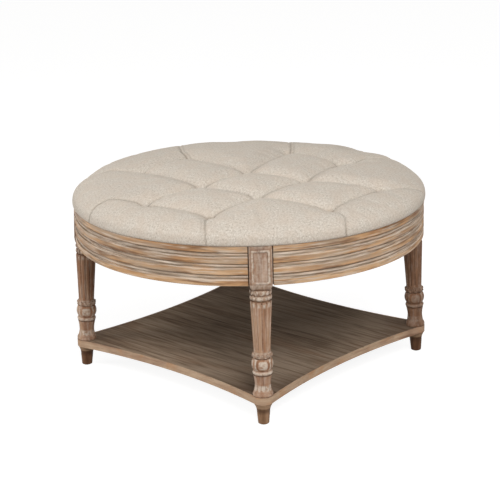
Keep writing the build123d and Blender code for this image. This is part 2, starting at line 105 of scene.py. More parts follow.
# %% [markdown]
# ## Camera
#
# The viewing place was worked out from the photograph: the widths of the round top, the heights of
# the apron and the places of the four feet fix the direction, the distance and the lens. A long
# lens from three and a half metres keeps the sides of the legs almost upright.

# %% Camera
camera_turn = math.radians(41.99)
camera_rise = math.radians(17.80)
camera_roll = math.radians(-1.35)
camera_distance = 3.482
aim = Vector((0, 0, 0.230))

back = Vector((math.sin(camera_turn) * math.cos(camera_rise),
               -math.cos(camera_turn) * math.cos(camera_rise), math.sin(camera_rise)))
level = Vector((math.cos(camera_turn), math.sin(camera_turn), 0))
upright = back.cross(level)
right = level * math.cos(camera_roll) + upright * math.sin(camera_roll)
up = upright * math.cos(camera_roll) - level * math.sin(camera_roll)

camera = new_object("camera", bpy.data.cameras.new("camera"))
camera.matrix_world = Matrix.Translation(aim + back * camera_distance) @ Matrix(
    (right, up, back)).transposed().to_4x4()
camera.data.sensor_width = 36
camera.data.lens = 108.14
camera.data.shift_x = -0.0008
camera.data.shift_y = 0.0272
camera.data.clip_end = 50
bpy.context.scene.camera = camera
print("camera at", tuple(round(x, 3) for x in camera.location))

# %% [markdown]
# ## A short way to write node trees
#
# The sky, the floor, every finish and the carved ornaments are trees of nodes. Writing every link by
# hand hides the idea, so one small class adds a node and feeds its inputs in a single step. A second
# one ends in a Principled shader and offers what the finishes use: noise, ramps, mixing and bumps.

# %% Node helpers
def srgb(red, green, blue):
    """Colour as seen on a screen, 0 to 255, turned into the linear colour that nodes use."""
    def one(value):
        value /= 255
        return value / 12.92 if value <= 0.04045 else ((value + 0.055) / 1.055) ** 2.4
    return (one(red), one(green), one(blue), 1.0)


def shades(*colours):
    """Several tones, each from its screen colour."""
    return [srgb(*colour) for colour in colours]


class Tree:
    """A tree of nodes, and short ways to add nodes and arithmetic to it."""

    def __init__(self, tree):
        self.tree = tree
        self.tree.nodes.clear()

    def add(self, kind, inputs=None, **settings):
        """Node with its settings, each input given a value or the output that feeds it."""
        node = self.tree.nodes.new(kind if "Node" in kind else "ShaderNode" + kind)
        for key, value in settings.items():
            setattr(node, key, value)
        for key, value in (inputs or {}).items():
            self.feed(node.inputs[key], value)
        return node

    def feed(self, socket, value):
        if isinstance(value, bpy.types.NodeSocket):
            self.tree.links.new(value, socket)
        else:
            socket.default_value = value

    def sum(self, operation, first, second=0.0, third=0.0):
        return self.add("Math", {0: first, 1: second, 2: third}, operation=operation).outputs[0]

    def times(self, first, second):
        return self.sum("MULTIPLY", first, second)

    def spread(self, value, low, high, to_low=0.0, to_high=1.0):
        """The value moved from the range low to high into another range, and kept inside it."""
        return self.add("MapRange", {"Value": value, "From Min": low, "From Max": high,
                                     "To Min": to_low, "To Max": to_high}).outputs[0]


class Finish(Tree):
    """A procedural material that ends in one Principled shader."""

    def __init__(self, name, roughness=0.6, specular=0.35):
        self.material = bpy.data.materials.new(name)
        self.material.use_nodes = True
        super().__init__(self.material.node_tree)
        self.shader = self.add("BsdfPrincipled", {"Roughness": roughness, "Specular IOR Level": specular})
        self.add("OutputMaterial", {"Surface": self.shader.outputs[0]})
        self.place = self.add("TexCoord").outputs["Object"]

    def blend(self, *parts):
        """Sum of values, each multiplied by its weight."""
        total = self.times(*parts[0])
        for part in parts[1:]:
            total = self.sum("ADD", total, self.times(*part))
        return total

    def split(self, vector):
        return self.add("SeparateXYZ", {"Vector": vector}).outputs

    def plan_radius(self, parts):
        """Distance from the table's upright axis."""
        return self.sum("SQRT", self.sum("ADD", self.times(parts[0], parts[0]),
                                         self.times(parts[1], parts[1])))

    def scaled(self, vector, scale, turn=(0, 0, 0), shift=(0, 0, 0)):
        return self.add("Mapping", {"Vector": vector, "Scale": scale, "Rotation": turn,
                                    "Location": shift}).outputs[0]

    def noise(self, vector, scale, detail=3.0, rough=0.55, bend=0.0):
        return self.add("TexNoise", {"Vector": vector, "Scale": scale, "Detail": detail,
                                     "Roughness": rough, "Distortion": bend}).outputs["Fac"]

    def blotch(self, vector, scale, detail, *reach):
        """Noise pushed apart into blotches; reach holds the limits that spread takes."""
        return self.spread(self.noise(vector, scale, detail), *reach)

    def ramp(self, share, stops):
        node = self.add("ValToRGB", {"Fac": share})
        steps = node.color_ramp.elements
        while len(steps) < len(stops):
            steps.new(0.5)
        for step, (position, colour) in zip(steps, stops):
            step.position = position
            step.color = colour if hasattr(colour, "__len__") else (colour, colour, colour, 1)
        return node.outputs[0]

    def mix(self, share, first, second, way="MIX"):
        return self.add("Mix", {0: share, 6: first, 7: second}, data_type="RGBA", blend_type=way).outputs[2]

    def tint(self, colour, share, strength, tone):
        """The colour, with a tone laid over it where the share is high."""
        return self.mix(self.times(share, strength), colour, tone)

    def attribute(self, name):
        return self.add("Attribute", attribute_name=name).outputs["Fac"]

    def done(self, colour, height, rough, deep, strength, rough_by=None):
        """Ends the finish: its colour, a roughness that follows the height, and a bump in mm."""
        roughness = self.spread(height if rough_by is None else rough_by, 0.3, 0.7, *rough)
        bump = self.add("Bump", {"Height": height, "Distance": deep * MM, "Strength": strength})
        for key, value in (("Base Color", colour), ("Roughness", roughness), ("Normal", bump.outputs[0])):
            self.feed(self.shader.inputs[key], value)
        return self.material


# %% [markdown]
# ## Light, floor and background
#
# The picture is a studio cut-out: soft light from behind the camera and above, and plain white
# around. Three large area lamps give it, with a pale sky that is brighter in front of the table than
# behind. The sky and the floor are white only as the camera, gloss and glass see them, which adds no
# light to the matt wood and linen.

# %% Light and background
bpy.context.scene.view_settings.view_transform = "Standard"
sky_light = 0.29
sky_behind = 0.35
sky_in_front = 1.5
toward_camera = (0.669, -0.743, 0.1)
lamp_aim = Vector((0, 0, 0.3))


def shows_white(tree):
    """1 for rays from the camera, off gloss and through glass; 0 for the light on the table."""
    rays = tree.add("LightPath").outputs
    share = rays["Is Camera Ray"]
    for name in ("Is Glossy Ray", "Is Transmission Ray"):
        share = tree.sum("MAXIMUM", share, rays[name])
    return share


def make_world():
    """Sky that is brighter in front of the table than behind it, and white where it is seen."""
    world = bpy.data.worlds.new("studio")
    bpy.context.scene.world = world
    world.use_nodes = True
    tree = Tree(world.node_tree)
    sky = tree.add("TexCoord").outputs["Generated"]
    facing = tree.add("VectorMath", {0: sky, 1: toward_camera}, operation="DOT_PRODUCT").outputs["Value"]
    level = tree.spread(facing, -0.7, 0.7, sky_light * sky_behind, sky_light * sky_in_front)
    strength = tree.add("Mix", {"Factor": shows_white(tree), "A": level, "B": 1.0}).outputs["Result"]
    glow = tree.add("Background", {"Color": (1, 1, 1, 1), "Strength": strength})
    tree.add("OutputWorld", {"Surface": glow.outputs["Background"]})


def soft_lamp(name, place, watts, size):
    """Square area lamp that looks at the middle of the table."""
    lamp = bpy.data.lights.new(name, "AREA")
    lamp.energy = watts
    lamp.size = size
    holder = new_object(name, lamp)
    holder.location = place
    holder.rotation_euler = (Vector(place) - lamp_aim).to_track_quat("Z", "Y").to_euler()


make_world()
soft_lamp("key_lamp", (2.7, -2.0, 2.8), 100, 1.5)
soft_lamp("left_lamp", (-2.3, -2.2, 1.2), 44, 1.5)
soft_lamp("top_lamp", (1.2, 0.5, 3.0), 18, 2.2)

# %% Floor
floor_radius = 14
floor_glow = 0.90

floor_mesh = bpy.data.meshes.new("floor")
shape = bmesh.new()
bmesh.ops.create_circle(shape, cap_ends=True, radius=floor_radius, segments=96)
shape.to_mesh(floor_mesh)
shape.free()
floor = new_object("floor", floor_mesh)

paint = bpy.data.materials.new("studio_floor")
paint.use_nodes = True
tree = Tree(paint.node_tree)
matt = tree.add("BsdfDiffuse", {"Color": (0.42, 0.40, 0.38, 1)})
faint = tree.add("BsdfDiffuse", {"Color": (0.26, 0.255, 0.25, 1)})
lit = tree.add("Emission", {"Strength": floor_glow})
both = tree.add("AddShader", {0: faint.outputs[0], 1: lit.outputs[0]})
choice = tree.add("MixShader", {0: shows_white(tree), 1: matt.outputs[0], 2: both.outputs[0]})
tree.add("OutputMaterial", {"Surface": choice.outputs[0]})
floor_mesh.materials.append(paint)
print("floor:", len(floor_mesh.polygons), "face")

# %% [markdown]
# ## Weathered wood
#
# The legs and the apron are oak-like wood, stained brown, rubbed back on the flats and limed: pale
# wax stays in the hollows of the carving, and shade is painted into the deepest corners and the
# quirks. The grain runs along each leg, and along the curve of the apron, so the same finish takes
# two kinds of coordinates: plain ones squeezed along Z, and ones unrolled round the table with an
# arctangent.

# %% Weathered wood for carved pieces
def wood_tone(wood, grain, patches, tones, pore=0.55):
    """Colour and height of open-grained wood, from coordinates stretched along the grain."""
    bands = wood.noise(grain, 62, 6, 0.62, 0.35)
    broad = wood.noise(patches, 9, 3, 0.55)
    share = wood.blend((bands, 0.62), (broad, 0.38))
    stops = [(0.34 + 0.32 * step / (len(tones) - 1), tone) for step, tone in enumerate(tones)]
    colour = wood.ramp(share, stops)
    pores = wood.noise(grain, 210, 4, 0.7)
    dark = wood.spread(pores, 0.42, 0.30)
    colour = wood.tint(colour, dark, pore, srgb(78, 58, 44))
    height = wood.sum("SUBTRACT", bands, wood.times(dark, 0.5))
    return colour, height


LEG_TONES = shades((100, 66, 44), (134, 95, 70), (157, 117, 90), (176, 141, 113), (142, 109, 86))
FOOT_TONES = shades((98, 72, 52), (130, 99, 74), (157, 123, 96), (176, 144, 116))
# Tones of the foot wood with painted shade, for the two feet that stand in shade.
SHADED_FOOT_TONES = shades((68, 45, 30), (91, 62, 43), (110, 78, 56), (125, 92, 69))


def make_leg_finish():
    """Limed leg wood; the mesh says where wax lies, and where shade is painted into the carving and over a
    leg in shade.
    """
    wood = Finish("weathered_leg_wood", specular=0.2)
    grain = wood.scaled(wood.place, (1, 1, 0.07))
    patches = wood.scaled(wood.place, (1, 1, 0.35))
    colour, height = wood_tone(wood, grain, patches, LEG_TONES, 0.5)
    rusty = wood.blotch(wood.scaled(wood.place, (1, 1, 0.25), shift=(3, 1, 2)), 30, 3, 0.50, 0.66)
    colour = wood.tint(colour, rusty, 0.4, srgb(158, 112, 80))
    wax_patch = wood.blotch(wood.place, 160, 3, 0.35, 0.60, 0.25, 1.0)
    colour = wood.tint(colour, wood.attribute("wax"), wood.times(wax_patch, 0.9), srgb(216, 205, 189))
    smear = wood.blotch(wood.scaled(wood.place, (1, 1, 0.12), shift=(2, 5, 1)), 140, 4, 0.52, 0.64)
    colour = wood.tint(colour, smear, 0.28, srgb(214, 196, 182))
    # Painted shade from the mesh's deep value: in the carving, and over the whole of a leg that stands in
    # shade.
    deep_patch = wood.blotch(wood.place, 90, 2, 0.25, 0.55, 0.55, 1.0)
    colour = wood.tint(colour, wood.attribute("deep"), deep_patch, srgb(92, 66, 48))
    return wood.done(colour, height, (0.72, 0.52), 0.5, 0.7)


def make_foot_finish(name, tones):
    """Darker brown wood of the feet, with painted shade in the hollow under the pale collar."""
    wood = Finish(name, specular=0.12)
    grain = wood.scaled(wood.place, (1, 1, 0.12))
    colour, height = wood_tone(wood, grain, wood.place, tones, 0.6)
    level = wood.split(wood.place)[2]
    # Painted shade in the hollow under the collar.
    hollow = wood.ramp(wood.sum("DIVIDE", level, 0.05),
                       [(0.44, 0.0), (0.60, 1.0), (0.68, 0.9), (0.76, 0.0)])
    colour = wood.tint(colour, hollow, 0.65, srgb(66, 44, 30))
    collar = wood.spread(level, 0.035, 0.038)
    colour = wood.tint(colour, collar, 0.6, srgb(176, 146, 118))
    return wood.done(colour, height, (0.70, 0.50), 0.4, 0.6)


leg_wood = make_leg_finish()
foot_wood = make_foot_finish("dark_foot_wood", FOOT_TONES)
shaded_foot_wood = make_foot_finish("painted_shade_foot_wood", SHADED_FOOT_TONES)
print("finishes:", leg_wood.name, foot_wood.name)

# %% Weathered wood for the apron
apron_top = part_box("apron_front")[1].z
apron_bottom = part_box("apron_front")[0].z
band_height = 13.2 * MM
groove_height = (apron_top - apron_bottom - 4 * band_height) / 3
grain_start = 5.3
apron_radius = 0.398
band_pitch = band_height + groove_height


def make_apron_finish():
    """Bands of orange-brown wood over limed grooves, with painted shadow in the quirks and beside the leg
    blocks, the grain along the curve.
    """
    wood = Finish("weathered_apron_wood", specular=0.2)
    turned = wood.scaled(wood.place, (1, 1, 1), turn=(0, 0, math.radians(-45)))
    parts = wood.split(turned)
    turn = wood.sum("ARCTAN2", parts[1], parts[0])
    along = wood.sum("MULTIPLY_ADD", turn, apron_radius, grain_start)
    radius = wood.plan_radius(parts)
    unrolled = wood.add("CombineXYZ", {"X": along, "Y": radius, "Z": parts[2]}).outputs[0]

    def streaks(squash, shift, *numbers):
        """Blotches drawn out along the curve."""
        return wood.blotch(wood.scaled(unrolled, squash, shift=shift), *numbers)

    grain = wood.scaled(unrolled, (0.05, 1, 1))
    patches = wood.scaled(unrolled, (0.9, 0.5, 2.2))
    tones = shades((116, 82, 56), (164, 121, 85), (197, 154, 112), (214, 178, 141), (174, 145, 121))
    colour, height = wood_tone(wood, grain, patches, tones, 0.6)
    wash = streaks((0.30, 1, 1.6), (4, 0, 3), 34, 4, 0.42, 0.58)
    over_edge = wood.spread(parts[2], apron_bottom + 0.010, apron_bottom + 0.016, 0.15, 1.0)
    wash = wood.times(wash, over_edge)
    colour = wood.tint(colour, wash, 0.7, srgb(170, 150, 130))
    brown = streaks((0.10, 1, 1), (6, 3, 2), 85, 4, 0.50, 0.62)
    colour = wood.tint(colour, brown, 0.75, srgb(112, 78, 52))
    white = streaks((0.06, 1, 1), (1, 2, 6), 260, 4, 0.53, 0.65)
    colour = wood.tint(colour, white, 0.65, srgb(214, 198, 180))
    phase = wood.sum("FRACT", wood.sum("DIVIDE", wood.sum("SUBTRACT", apron_top, parts[2]), band_pitch))
    share = band_height / band_pitch
    outside = wood.spread(radius, 0.388, 0.390)
    # Lime fills each groove from just under the band above. Where it runs over the lower quirk and onto the
    # top of the next band, it is painted light over that quirk's shadow.
    limed = wood.ramp(phase, [(0.0, 0.95), (0.05, 0.7), (0.10, 0.0), (share, 0.0),
                              (share + 0.06, 0.8), (0.70, 1.0)])
    under_first = wood.spread(parts[2], apron_top - 0.010, apron_top - 0.014)
    limed = wood.times(limed, wood.times(outside, under_first))
    patch = streaks((0.25, 1, 1), (0, 0, 0), 120, 3, 0.30, 0.58, 0.3, 1.0)
    chalk = streaks((0.07, 1, 1), (2, 8, 5), 210, 4, 0.42, 0.60)
    lime = wood.mix(chalk, srgb(156, 138, 120), srgb(214, 200, 184))
    colour = wood.tint(colour, limed, wood.times(patch, 0.92), lime)
    # Painted shadow: a dark line in the quirk under each band, and a dark gap beside each leg block.
    dark = wood.ramp(phase, [(share - 0.02, 0.0), (share + 0.005, 1.0), (share + 0.035, 0.9),
                             (share + 0.07, 0.0)])
    broken = streaks((0.10, 1, 1), (9, 1, 4), 90, 3, 0.38, 0.58, 0.25, 1.0)
    dark = wood.times(wood.times(dark, outside), wood.times(broken, 0.85))
    aside = wood.sum("MINIMUM", wood.sum("ABSOLUTE", parts[0]), wood.sum("ABSOLUTE", parts[1]))
    dark = wood.sum("MAXIMUM", dark, wood.spread(aside, 0.0272, 0.0252))
    colour = wood.mix(dark, colour, srgb(74, 52, 40))
    return wood.done(colour, height, (0.70, 0.50), 0.5, 0.6)


apron_wood = make_apron_finish()
print("apron: pitch of the bands", round(band_pitch / MM, 2), "mm")

# %% [markdown]
# ## Shelf veneer and its lighter edge
#
# The shelf is a flat panel under a dark, greyish-brown veneer whose streaks all run from left to
# right, with a solid strip round the edge in the tan of the legs. Long thin noise gives the streaks;
# a second, broader one gives the cloudy stain. Painted light makes the veneer paler on its left side,
# and painted shade darkens it at its points.

# %% Shelf finishes
leftwards = (-0.743, -0.669)


def make_veneer_finish():
    """Dark streaked veneer, with painted light on one side and painted shade at the points."""
    wood = Finish("dark_shelf_veneer", specular=0.06)
    grain = wood.scaled(wood.place, (0.06, 1, 1))
    streaks = wood.noise(grain, 130, 7, 0.62, 0.25)
    cloud = wood.noise(wood.scaled(wood.place, (0.5, 1, 1)), 7, 3)
    tones = shades((92, 75, 60), (119, 101, 84), (137, 119, 101), (151, 133, 115), (124, 108, 91))
    stops = list(zip((0.34, 0.44, 0.52, 0.60, 0.68), tones))
    colour = wood.ramp(wood.blend((streaks, 0.72), (cloud, 0.28)), stops)
    lines = wood.spread(wood.noise(grain, 330, 4, 0.7), 0.40, 0.30)
    colour = wood.tint(colour, lines, 0.45, srgb(66, 50, 41))
    rusty = wood.blotch(wood.scaled(wood.place, (0.3, 1, 1), shift=(5, 2, 0)), 16, 3, 0.54, 0.70)
    colour = wood.tint(colour, rusty, 0.35, srgb(130, 98, 74))
    parts = wood.split(wood.place)
    # Painted light: the veneer turns paler towards the left.
    side = wood.sum("MULTIPLY_ADD", parts[0], leftwards[0], wood.times(parts[1], leftwards[1]))
    pale = wood.mix(1.0, colour, (1.6, 1.6, 1.6, 1), "MULTIPLY")
    colour = wood.mix(wood.spread(side, 0.08, 0.24), colour, pale)
    # Painted shade: the veneer darkens towards its points, in patches.
    shade_patch = wood.spread(cloud, 0.35, 0.60, 0.25, 0.7)
    shaded_points = wood.times(wood.spread(wood.plan_radius(parts), 0.27, 0.35), shade_patch)
    colour = wood.mix(shaded_points, colour, srgb(74, 56, 44))
    return wood.done(colour, streaks, (0.85, 0.72), 0.4, 0.5)


def make_lipping_finish():
    """Tan edge strip: the grain follows the strip, with orange and pale patches."""
    wood = Finish("tan_shelf_edge", specular=0.15)
    grain = wood.scaled(wood.place, (0.18, 0.18, 1.6))
    tones = shades((136, 105, 84), (170, 139, 115), (190, 162, 135), (204, 179, 152))
    colour, height = wood_tone(wood, grain, wood.place, tones, 0.35)
    rusty = wood.blotch(wood.place, 24, 3, 0.54, 0.66)
    colour = wood.tint(colour, rusty, 0.4, srgb(184, 134, 92))
    return wood.done(colour, height, (0.70, 0.52), 0.4, 0.5)


veneer = make_veneer_finish()
lipping_wood = make_lipping_finish()
print("shelf finishes:", veneer.name, lipping_wood.name)

# %% [markdown]
# ## Linen
#
# The cover is a plain woven linen in oatmeal, with threads a little over a millimetre apart. Some
# threads are thicker and darker than others, which gives the heathered look. The weave reads the
# cloth's own UV map, laid out in metres, so it follows the pillows as real cloth does. Two waves at
# right angles make the over-and-under of the threads; noise stretched along each thread colours it.

# %% Linen finish
thread_pitch = 1.1 * MM


def make_linen_finish():
    """Heathered oatmeal linen, with painted shade where the mesh says that it folds."""
    cloth = Finish("oatmeal_linen", roughness=0.9, specular=0.15)
    for key, value in (("Weight", 0.25), ("Roughness", 0.5), ("Tint", srgb(236, 228, 216))):
        cloth.shader.inputs["Sheen " + key].default_value = value
    flat = cloth.add("UVMap", uv_map="cloth").outputs[0]
    parts = cloth.split(flat)
    wobble = cloth.times(cloth.noise(flat, 260, 2), 3)
    waves = [cloth.sum("SINE", cloth.sum("MULTIPLY_ADD", parts[axis], 2 * math.pi / thread_pitch, wobble))
             for axis in (0, 1)]
    weave = cloth.times(*waves)
    warp = cloth.noise(cloth.scaled(flat, (1, 0.12, 1)), 1500, 2, 0.6)
    weft = cloth.noise(cloth.scaled(flat, (0.12, 1, 1), shift=(7, 3, 0)), 1500, 2, 0.6)
    fleck = cloth.blend((warp, 0.5), (weft, 0.5))
    slubs = cloth.noise(cloth.scaled(flat, (1, 0.5, 1), shift=(1, 9, 0)), 420, 3, 0.65)
    coarse = cloth.noise(cloth.scaled(flat, (1, 0.8, 1), shift=(4, 2, 0)), 230, 4, 0.75)
    tones = shades((160, 146, 130), (196, 185, 171), (212, 203, 191), (228, 221, 211))
    colour = cloth.ramp(cloth.blend((fleck, 0.40), (slubs, 0.25), (coarse, 0.35)),
                        list(zip((0.40, 0.46, 0.53, 0.59), tones)))
    cloud = cloth.noise(flat, 30, 3)
    colour = cloth.mix(cloth.spread(cloud, 0.40, 0.62, 0.0, 0.4), colour, srgb(204, 187, 170))
    # Painted shade in the folds and tuft dimples, from the mesh's fold value.
    colour = cloth.tint(colour, cloth.attribute("fold"), 0.85, srgb(112, 95, 78))
    height = cloth.blend((weave, 0.35), (fleck, 1.3))
    return cloth.done(colour, height, (0.95, 0.82), 0.35, 0.75, rough_by=slubs)


linen = make_linen_finish()
print("finish:", linen.name)

# %% [markdown]
# ## Hidden wood, board, metal and nylon
#
# A table is seen from below too. Blocks behind the legs are plain sawn beech, the seat deck is
# birch plywood, the fasteners are zinc-plated steel, and each foot stands on a nylon glide.

# %% Plain finishes
def make_plain_wood(name, stretch, seed, *tones):
    """Bare wood or board, its grain stretched one way and its pattern moved by the seed."""
    wood = Finish(name, specular=0.25)
    grain = wood.scaled(wood.place, stretch, shift=(seed, seed * 0.7, 0))
    colour, height = wood_tone(wood, grain, wood.place, shades(*tones), 0.25)
    return wood.done(colour, height, (0.80, 0.62), 0.3, 0.5)


def make_metal(name, colour, roughness):
    """Metal with faint spots and a few dull stains."""
    metal = Finish(name, roughness=roughness)
    metal.shader.inputs["Metallic"].default_value = 1.0
    spots = metal.noise(metal.place, 900, 3)
    stain = metal.noise(metal.place, 120, 2)
    tint = metal.mix(metal.spread(stain, 0.4, 0.7, 0.0, 0.5), colour, srgb(150, 142, 126))
    return metal.done(tint, spots, (roughness - 0.1, roughness + 0.15), 0.05, 0.5)


def make_nylon(name, colour):
    """Nylon with scuffs from sliding on a floor."""
    nylon = Finish(name, roughness=0.5)
    grain = nylon.noise(nylon.place, 1400, 2)
    scuff = nylon.blotch(nylon.scaled(nylon.place, (1, 0.2, 1)), 500, 3, 0.5, 0.7)
    tint = nylon.tint(colour, scuff, 0.4, srgb(120, 112, 104))
    return nylon.done(tint, grain, (0.45, 0.62), 0.05, 0.6)


def make_weave(name, base, other, pitch):
    """Coarse plain cloth or twine, its threads laid out by object coordinates."""
    cloth = Finish(name, roughness=0.95, specular=0.1)
    parts = cloth.split(cloth.place)
    waves = [cloth.sum("SINE", cloth.times(parts[axis], 2 * math.pi / pitch)) for axis in (0, 1)]
    weave = cloth.times(*waves)
    fuzz = cloth.noise(cloth.place, 700, 3)
    share = cloth.spread(cloth.sum("ADD", cloth.times(weave, 0.4), fuzz), 0.2, 0.9)
    return cloth.done(cloth.mix(share, base, other), weave, (0.98, 0.85), 0.2, 0.6, rough_by=fuzz)


beech = make_plain_wood("sawn_beech", (0.25, 0.25, 1), 4,
                        (188, 152, 112), (206, 172, 132), (218, 188, 150))
panel_board = make_plain_wood("panel_board", (1, 1, 1), 7,
                              (150, 120, 90), (172, 142, 110), (186, 158, 126))
plywood = make_plain_wood("birch_plywood", (0.05, 1, 3), 2,
                          (200, 170, 130), (216, 190, 152), (226, 204, 170))
zinc = make_metal("zinc_steel", srgb(186, 186, 182), 0.38)
nylon = make_nylon("grey_nylon", srgb(196, 192, 184))
black_cloth = make_weave("black_dust_cloth", srgb(26, 25, 26), srgb(52, 51, 52), 1.6 * MM)
twine = make_weave("waxed_twine", srgb(150, 128, 92), srgb(196, 174, 134), 0.8 * MM)

# %% Give the kept solids their finishes
finish_of = {
    "weathered_wood": leg_wood, "plain_wood": beech, "panel_board": panel_board, "dark_veneer": veneer,
    "lipping_wood": lipping_wood, "plywood": plywood, "foam": linen, "linen": linen,
    "black_cloth": black_cloth, "twine": twine, "steel": zinc, "nylon": nylon,
}
slot_of_node = {part["node"]: part["material_slot"] for part in frame["record"]["subparts"]}
for name, solid in nodes.items():
    finish = finish_of[slot_of_node[name]]
    if name.startswith("apron_") and name != "apron_dowels":
        finish = apron_wood
    if name.startswith("foot_"):
        finish = foot_wood
    # These two feet stand in shade, so they get the foot wood with painted shade.
    if name in ("foot_front_left", "foot_rear_right"):
        finish = shaded_foot_wood
    solid.data.materials.clear()
    solid.data.materials.append(finish)
print("solids with a finish:", len(nodes))

# %% [markdown]
# ## The carved legs
#
# A leg is turned first and carved after. The lathe gives a list of members: a base ring, a hollow
# ankle, beads, a bulb, a long tapering shaft and two rings below the square block. The carver then
# cuts flutes in the shaft, petals in the ankle and panels round the bulb, and sets ornaments on the
# rings. The mesh follows the same order: rings of points from the turned members, each pushed in or
# out by a carving rule. The rules also note how much wax stays in the cut and how much shade is
# painted into it.

# %% Turned members
shelf_top = 63.7
base_below_shelf = 2.0
turned_members = [
    ("base_ring", 7.5, 21.0, 21.9, 21.0), ("ankle_low", 20.3, 20.0, 18.0, 17.0),
    ("ankle_high", 18.8, 17.0, 18.0, 20.0), ("lower_bead", 9.7, 18.3, 21.3, 18.3),
    ("quirk", 1.5, 18.3, 18.3, 18.3), ("bulb", 25.0, 19.4, 22.6, 19.4),
    ("quirk", 1.5, 18.3, 18.3, 18.3), ("upper_bead", 10.5, 18.5, 21.0, 18.5),
    ("shaft", 109.0, 17.6, 20.1, 22.8), ("shoulder", 5.0, 22.8, 22.5, 20.8),
    ("quirk", 1.4, 19.5, 19.5, 19.5), ("tablet_ring", 10.5, 19.6, 21.6, 19.6),
    ("quirk", 1.4, 19.5, 19.5, 19.5), ("rope_ring", 10.5, 19.6, 21.8, 19.6),
    ("quirk", 1.4, 19.5, 19.5, 19.5),
]


def arc_radius(share, low, middle, high):
    """Radius along a member: a parabola through three radii, near enough the arc of a circle."""
    return (low * (1 - share) * (1 - 2 * share) + 4 * middle * share * (1 - share)
            + high * share * (2 * share - 1))


def turned_rows(spacing=1.0):
    """Height, radius, share of the member and member's name, row by row, upwards."""
    rows = []
    height = shelf_top - base_below_shelf
    for number, (name, tall, low, middle, high) in enumerate(turned_members):
        if number == 0:
            tall += base_below_shelf
        count = max(3, int(math.ceil(tall / spacing)))
        for step in range(count + 1):
            share = step / count
            rows.append((height + tall * share, arc_radius(share, low, middle, high), share, name))
        height += tall
    return rows, height


leg_rows, block_bottom = turned_rows()
print("leg rows:", len(leg_rows), "block starts at", round(block_bottom, 1), "mm")

# %% Carving rules
FLUTES = 12
PANELS = 4


def tent(angle, count, phase=0.0):
    """0 at the start of each repeat round the leg, 1 at its middle."""
    turn = (angle * count / (2 * math.pi) + phase) % 1.0
    return 1 - np.abs(2 * turn - 1)


def smooth(value, low, high):
    """Soft step from 0 to 1."""
    share = np.clip((value - low) / (high - low), 0, 1)
    return share * share * (3 - 2 * share)


def carve(name, share, angle):
    """Depth to cut (mm, inwards is positive), wax and painted shade round one row."""
    # The darkness is painted shade: in the flutes, between the petals, in the panel grooves and the quirks,
    # under the beads and the block, at the foot of the base ring, and among the ornaments.
    depth = np.zeros_like(angle)
    wax = np.zeros_like(angle)
    deep = np.zeros_like(angle)
    if name == "shaft":
        near_cut = 1 - tent(angle, FLUTES)
        window = smooth(share, 0.03, 0.09) * (1 - smooth(share, 0.93, 0.985))
        cut = smooth(near_cut, 0.42, 1.0)
        depth += cut * window * (1.2 + 1.3 * (1 - share))
        deep += smooth(near_cut, 0.80, 1.0) * window * (0.35 + 0.5 * (1 - share))
        wax += smooth(near_cut, 0.45, 0.7) * (1 - smooth(near_cut, 0.75, 0.9)) * window * 0.35
        lobe = smooth(share, 0.90, 0.97)
        depth += lobe * smooth(near_cut, 0.55, 1.0) * 1.6
        wax += lobe * 0.9 * (1 - near_cut)
        wax += (1 - smooth(share, 0.0, 0.05)) * 0.6
    elif name == "shoulder":
        near_cut = 1 - tent(angle, FLUTES)
        depth += smooth(near_cut, 0.55, 1.0) * 1.6 * (1 - share)
        wax += (1 - near_cut) * (1 - share) * 0.8
        deep += np.maximum(smooth(np.array(share), 0.45, 1.0), smooth(near_cut, 0.6, 0.9)) * 0.85
    elif name == "ankle_low":
        middle = tent(angle, FLUTES, 0.5)
        edge = 0.16 + 0.16 * (1 - middle) ** 2
        window = smooth(share - edge, 0.0, 0.10) * (1 - smooth(share, 0.70, 1.0))
        depth += window * 0.9 * (1 - (1 - middle) ** 2)
        wax += window * 0.75 + (1 - smooth(share - edge, 0.0, 0.08)) * 0.25
        deep += window * smooth(1 - middle, 0.80, 1.0) * 0.7
    elif name == "ankle_high":
        wax += 0.12
        deep += np.full_like(angle, smooth(np.array(share), 0.88, 1.0)) * 0.8
    elif name == "base_ring":
        wax += 0.25
        deep += 1 - smooth(np.full_like(angle, share), 0.25, 0.38)
    elif name == "lower_bead":
        wax += np.full_like(angle, math.sin(math.pi * share))
        deep += 1 - smooth(np.full_like(angle, share), 0.0, 0.12)
    elif name == "bulb":
        off = (angle * PANELS / (2 * math.pi) + 0.5) % 1.0 - 0.5
        across = np.abs(off) / 0.36
        rise = abs(2 * share - 1)
        reach = (across ** 4 + (rise / 0.90) ** 4) ** 0.25
        groove = smooth(reach, 0.86, 0.97) * (1 - smooth(reach, 1.10, 1.22))
        # Painted shade in the panel grooves, heavier on one side of each panel.
        slant = 0.5 - 0.5 * np.sign(off) * np.minimum(1, np.abs(off) / 0.2)
        depth += groove * 0.45 - smooth(0.90 - reach, 0, 0.7) * 0.4
        deep += groove * (0.05 + 0.22 * slant)
        wax += smooth(0.86 - reach, 0.0, 0.15) * 0.8 + smooth(reach, 1.15, 1.3) * 0.9
    elif name == "quirk":
        deep += 0.7
    elif name in ("upper_bead", "tablet_ring", "rope_ring"):
        deep += 0.25
        wax += 0.5
    return depth, np.clip(wax, 0, 1), np.clip(deep, 0, 1)


# %% Mesh of the turned part
AROUND = 168


